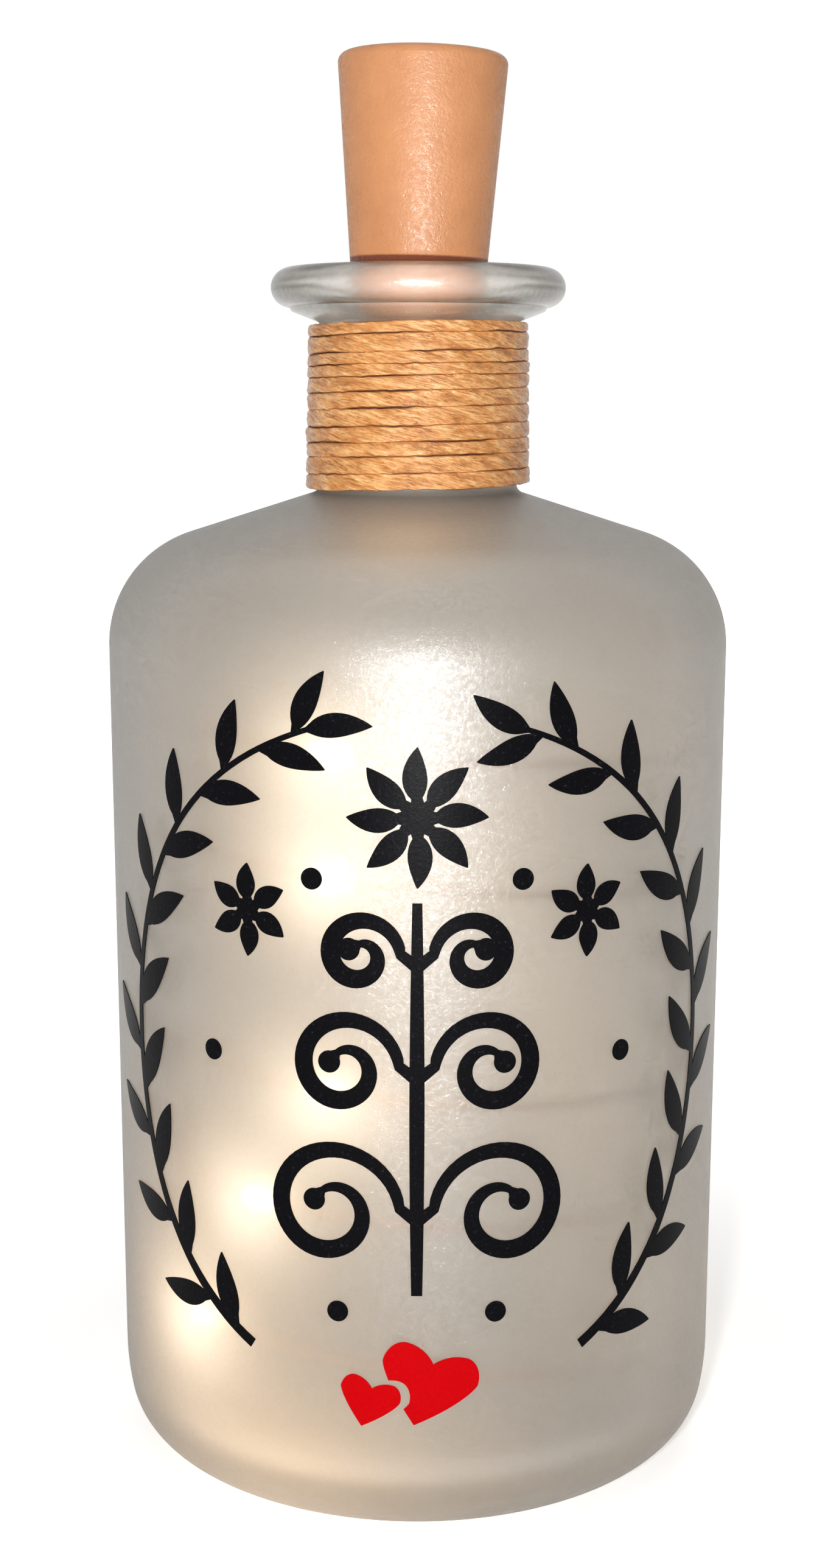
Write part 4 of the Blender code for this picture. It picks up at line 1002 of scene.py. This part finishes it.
def add_tendril(bm, root, side, radius, turns):
    """Draws a tendril that leaves its root nearly upright, curls outward and ends in a ball."""
    steps = round(turns * TENDRIL["steps_per_turn"])
    turn = 2 * pi / TENDRIL["steps_per_turn"]
    heading = radians(90 - side * (90 - TENDRIL["heading"]))
    start = (root[0].co.xy + root[1].co.xy) / 2
    out, up = TENDRIL["first_step"]
    line = [start, start + Vector((side * out, up))]
    for k in range(steps):
        line.append(line[-1] + pointing(heading) * turn * radius * (1 - TENDRIL["shrink"] * k / steps))
        heading -= side * turn
    thin, swell, ball_r = TENDRIL["thin_half"], TENDRIL["swell_half"], TENDRIL["ball_r"]
    body = stations_along(line, lambda t: thin + swell * sin(pi * min(1.0, 0.1 + 0.9 * t)))
    centre = line[-1] + pointing(heading) * ball_r
    ball = []
    for k in range(13):
        a = radians(148 - 140 * k / 12)
        middle = centre + pointing(heading) * ball_r * cos(a)
        half = pointing(heading - pi / 2) * ball_r * sin(a)
        ball.append((middle + half, middle - half))
    add_strip(bm, [*body[1:-1], *ball], root)


def draw_scroll():
    """Upright stem with three pairs of curling tendrils."""
    bm = bmesh.new()
    roots = {z for foot, _, _ in TENDRILS for z in (foot, foot + STEM["root"])}
    low, span = STEM["foot_z"], STEM["top_z"] - STEM["foot_z"]
    steps = [low + span * k / 40 for k in range(41)]
    between = {z for z in steps if not any(foot - TENDRIL_GAP < z < foot + STEM["root"] + TENDRIL_GAP
                                           for foot, _, _ in TENDRILS)}
    heights = sorted(roots | between)
    stations = []
    for z in heights:
        half = STEM["half"] * (0.5 + 0.5 * sin(0.5 + 2.35 * (z - low) / span))
        stations.append(((half, z), (-half, z)))
    rows = add_strip(bm, stations)
    for foot, radius, turns in TENDRILS:
        low = rows[heights.index(foot)]
        high = rows[heights.index(foot) + 1]
        add_tendril(bm, (low[0], high[0]), 1, radius, turns)
        add_tendril(bm, (high[1], low[1]), -1, radius, turns)
    return bm


def draw_blossom(blossom, side=1):
    """Round blossom: a core with a petal on each of its sides."""
    bm = bmesh.new()
    s, z, count, core, petal, width = blossom
    centre = Vector((side * s, z))
    corners = []
    for k in range(count):
        corner = centre + pointing(2 * pi * (k - 0.5) / count + pi / 2) * core
        corners.append(bm.verts.new((*corner, 0.0)))
    bm.faces.new(corners)
    for k in range(count):
        heading = 2 * pi * k / count + pi / 2
        add_leaf(bm, (corners[k], corners[(k + 1) % count]), heading, petal, width)
    return bm


def heart_edges(u):
    """Lower and upper edge of a heart one unit wide, tip at zero, a share u of the way to a side."""
    side, top, lobe, lobe_r = HEART_SHAPE
    lower = side * (1 - (1 - u) ** 0.75)
    if u < lobe:
        upper = top - lobe_r + sqrt(lobe_r ** 2 - ((lobe - u) / 2) ** 2)
    else:
        upper = side + (top - side) * sqrt(1 - ((u - lobe) / (1 - lobe)) ** 2)
    return lower, upper


def draw_heart(heart, grow=0.0):
    """Leaning heart, slice by slice. grow widens it all round."""
    s, z = heart["tip"]
    place = Matrix.Translation((s, z, 0)) @ Matrix.Rotation(radians(-heart["lean"]), 4, "Z")
    place @= Matrix.Translation((0, HEART_CENTRE * heart["width"], 0))
    width = heart["width"] + 2 * grow
    stations = []
    for k in range(HEART_SLICES + 1):
        u = 0.9995 * sin(pi / 2 * (2 * k / HEART_SLICES - 1))
        edges = [Vector((u / 2, v - HEART_CENTRE, 0)) * width for v in heart_edges(abs(u))]
        stations.append([(place @ point).xy for point in edges])
    bm = bmesh.new()
    add_strip(bm, stations)
    return bm


def build_hearts(material):
    """Small heart in front of a large one, which is cut back round it."""
    small = laid("heart_small_cut", draw_heart(HEART_SMALL), material)
    kept(small, "bottle", "vinyl_heart_small")
    large = laid("heart_large_cut", draw_heart(HEART_LARGE), material)
    grown = draw_heart(HEART_SMALL, HEART_CUT_MARGIN)
    cutter = laid("heart_cutter", grown, material, -VINYL_LIFT, VINYL_THICKNESS + 0.3 * MM)
    bm = bmesh.new()
    bm.from_mesh(cutter.data)
    bpy.data.objects.remove(cutter)
    kept(carved(large, bm), "bottle", "vinyl_heart_large")


def build_decoration():
    black = vinyl("black_vinyl")
    drawings = {"vinyl_branch_left": draw_branch(-1),
                "vinyl_branch_right": draw_branch(1),
                "vinyl_scroll": draw_scroll(),
                "vinyl_blossom_top": draw_blossom(BLOSSOM_TOP),
                "vinyl_blossom_left": draw_blossom(BLOSSOM_SIDE, -1),
                "vinyl_blossom_right": draw_blossom(BLOSSOM_SIDE)}
    for name, bm in drawings.items():
        kept(laid(name + "_cut", bm, black), "bottle", name)
    places = [(side * s * MM, z * MM, 0.0) for s, z in DOTS for side in (-1, 1)]
    for number, place in enumerate(places, 1):
        bm = bmesh.new()
        bmesh.ops.create_circle(bm, cap_ends=True, segments=40, radius=DOT_R,
                                matrix=Matrix.Translation(place))
        dot = laid(f"dot_{number}_cut", bm, black)
        kept(dot, "bottle", f"vinyl_dot_{number}")
    build_hearts(vinyl("red_vinyl"))


# Stopper

def in_stopper(obj):
    """Puts a piece that was made in the stopper's own heights where the stopper stands."""
    lean = Matrix.Rotation(radians(STOPPER_LEAN), 4, "Y")
    obj.matrix_world = Matrix.Translation(STOPPER_FOOT) @ lean @ obj.matrix_world
    return obj


def build_shell(cork):
    corner_z = STOPPER_LENGTH - STOPPER_CORNER_R
    corner = arc((STOPPER_HEAD_R - STOPPER_CORNER_R, corner_z), STOPPER_CORNER_R, 90, 0, 12)
    inside = rounded([(0.0, PARTITION[1]), (STOPPER_BORE_R, PARTITION[1]),
                      (STOPPER_BORE_R, RECESS_FLOOR), (RECESS_R, RECESS_FLOOR),
                      (RECESS_R, STOPPER_LENGTH), corner[0]], 0.25 * MM)
    below = rounded([corner[-1], (STOPPER_FOOT_R, 0.0), (CHAMBER_FOOT_R, 0.0),
                     (CHAMBER_TOP_R, PARTITION[0]), (0.0, PARTITION[0])], 0.35 * MM)
    shell = object_of("cork_shell", turned([*inside[:-1], *corner, *below[1:]]), cork)
    slots = []
    for (x, y), (size_x, size_y) in (SLOT_NEGATIVE, SLOT_POSITIVE):
        slots.append(box((x - size_x / 2, y - size_y / 2, PARTITION[0] - OVERCUT),
                         (x + size_x / 2, y + size_y / 2, PARTITION[1] + OVERCUT)))
    kept(in_stopper(carved(shell, *slots)), "stopper", "stopper_shell")


def build_plug(cork):
    low, high = PLUG_SPAN
    disc = turned(rounded([(0.0, low), (PLUG_R, low), (PLUG_R, high), (0.0, high)]))
    hole = turned([(0.0, high + OVERCUT), (PLUG_HOLE_R, high + OVERCUT),
                   (PLUG_HOLE_R, low - OVERCUT), (0.0, low - OVERCUT)], 32)
    bmesh.ops.translate(hole, verts=hole.verts, vec=(WIRE_EXIT_X, 0, 0))
    plug = carved(object_of("cork_plug", disc, cork), hole)
    kept(in_stopper(plug), "stopper", "bottom_plug")


def build_grommet():
    foot, shoulder, top = GROMMET_SPAN
    outline = rounded([(0.0, foot), (GROMMET_FLANGE_R * 0.7, foot),
                       (GROMMET_FLANGE_R, shoulder - 0.2 * MM), (GROMMET_FLANGE_R, shoulder),
                       (GROMMET_STEM_R, shoulder), (GROMMET_STEM_R, top), (0.0, top)], 0.12 * MM)
    bm = turned(outline, 40)
    bmesh.ops.translate(bm, verts=bm.verts, vec=(WIRE_EXIT_X, 0, 0))
    grommet = object_of("strain_relief", bm, speckled("silicone"))
    kept(in_stopper(grommet), "stopper", "wire_grommet")


def build_cap(cork):
    low, high = CAP_SPAN
    outer, inner, foot = CAP_SKIRT
    outline = rounded([(0.0, high), (CAP_R, high), (CAP_R, low), (outer, low), (outer, foot),
                       (inner, foot), (inner, low), (0.0, low)])
    half_x, half_y = CAP_SLOT_HALF
    slot = box((-half_x, -half_y, low - OVERCUT), (half_x, half_y, high + OVERCUT))
    notch = bmesh.new()
    place = Matrix.Translation((0, -CAP_R, high)) @ Matrix.Rotation(pi / 2, 4, "Y")
    bmesh.ops.create_cone(notch, cap_ends=True, segments=40, radius1=NAIL_NOTCH_R,
                          radius2=NAIL_NOTCH_R, depth=NAIL_NOTCH_LENGTH, matrix=place)
    cap = carved(object_of("core_cap_moulded", turned(outline), cork), slot, notch)
    kept(in_stopper(cap), "battery_core", "core_cap")


def build_stopper():
    cork = cork_plastic()
    build_shell(cork)
    build_plug(cork)
    build_grommet()
    build_cap(cork)


# Carried-over nodes

def dress_nodes(copper):
    for finish, names in NODE_FINISHES.items():
        material = copper if finish == "copper_wire" else speckled(finish)
        for name in names:
            mesh = NODES[name].data
            mesh.materials.clear()
            mesh.materials.append(material)
    for name in (*NODE_FINISHES["dark_plastic"], *NODE_FINISHES["board_green"]):
        modifier = NODES[name].modifiers.new("soften", "BEVEL")
        modifier.width = SOFT_EDGE
        modifier.segments = 2
        modifier.angle_limit = radians(40)
        modifier.harden_normals = True


build_camera()
wire = speckled("copper_wire")
build_led_string(wire)
build_glass()
build_twine()
build_decoration()
build_stopper()
dress_nodes(wire)
build_world()
build_floor()
build_lights()
bpy.context.scene.view_settings.view_transform = "Standard"
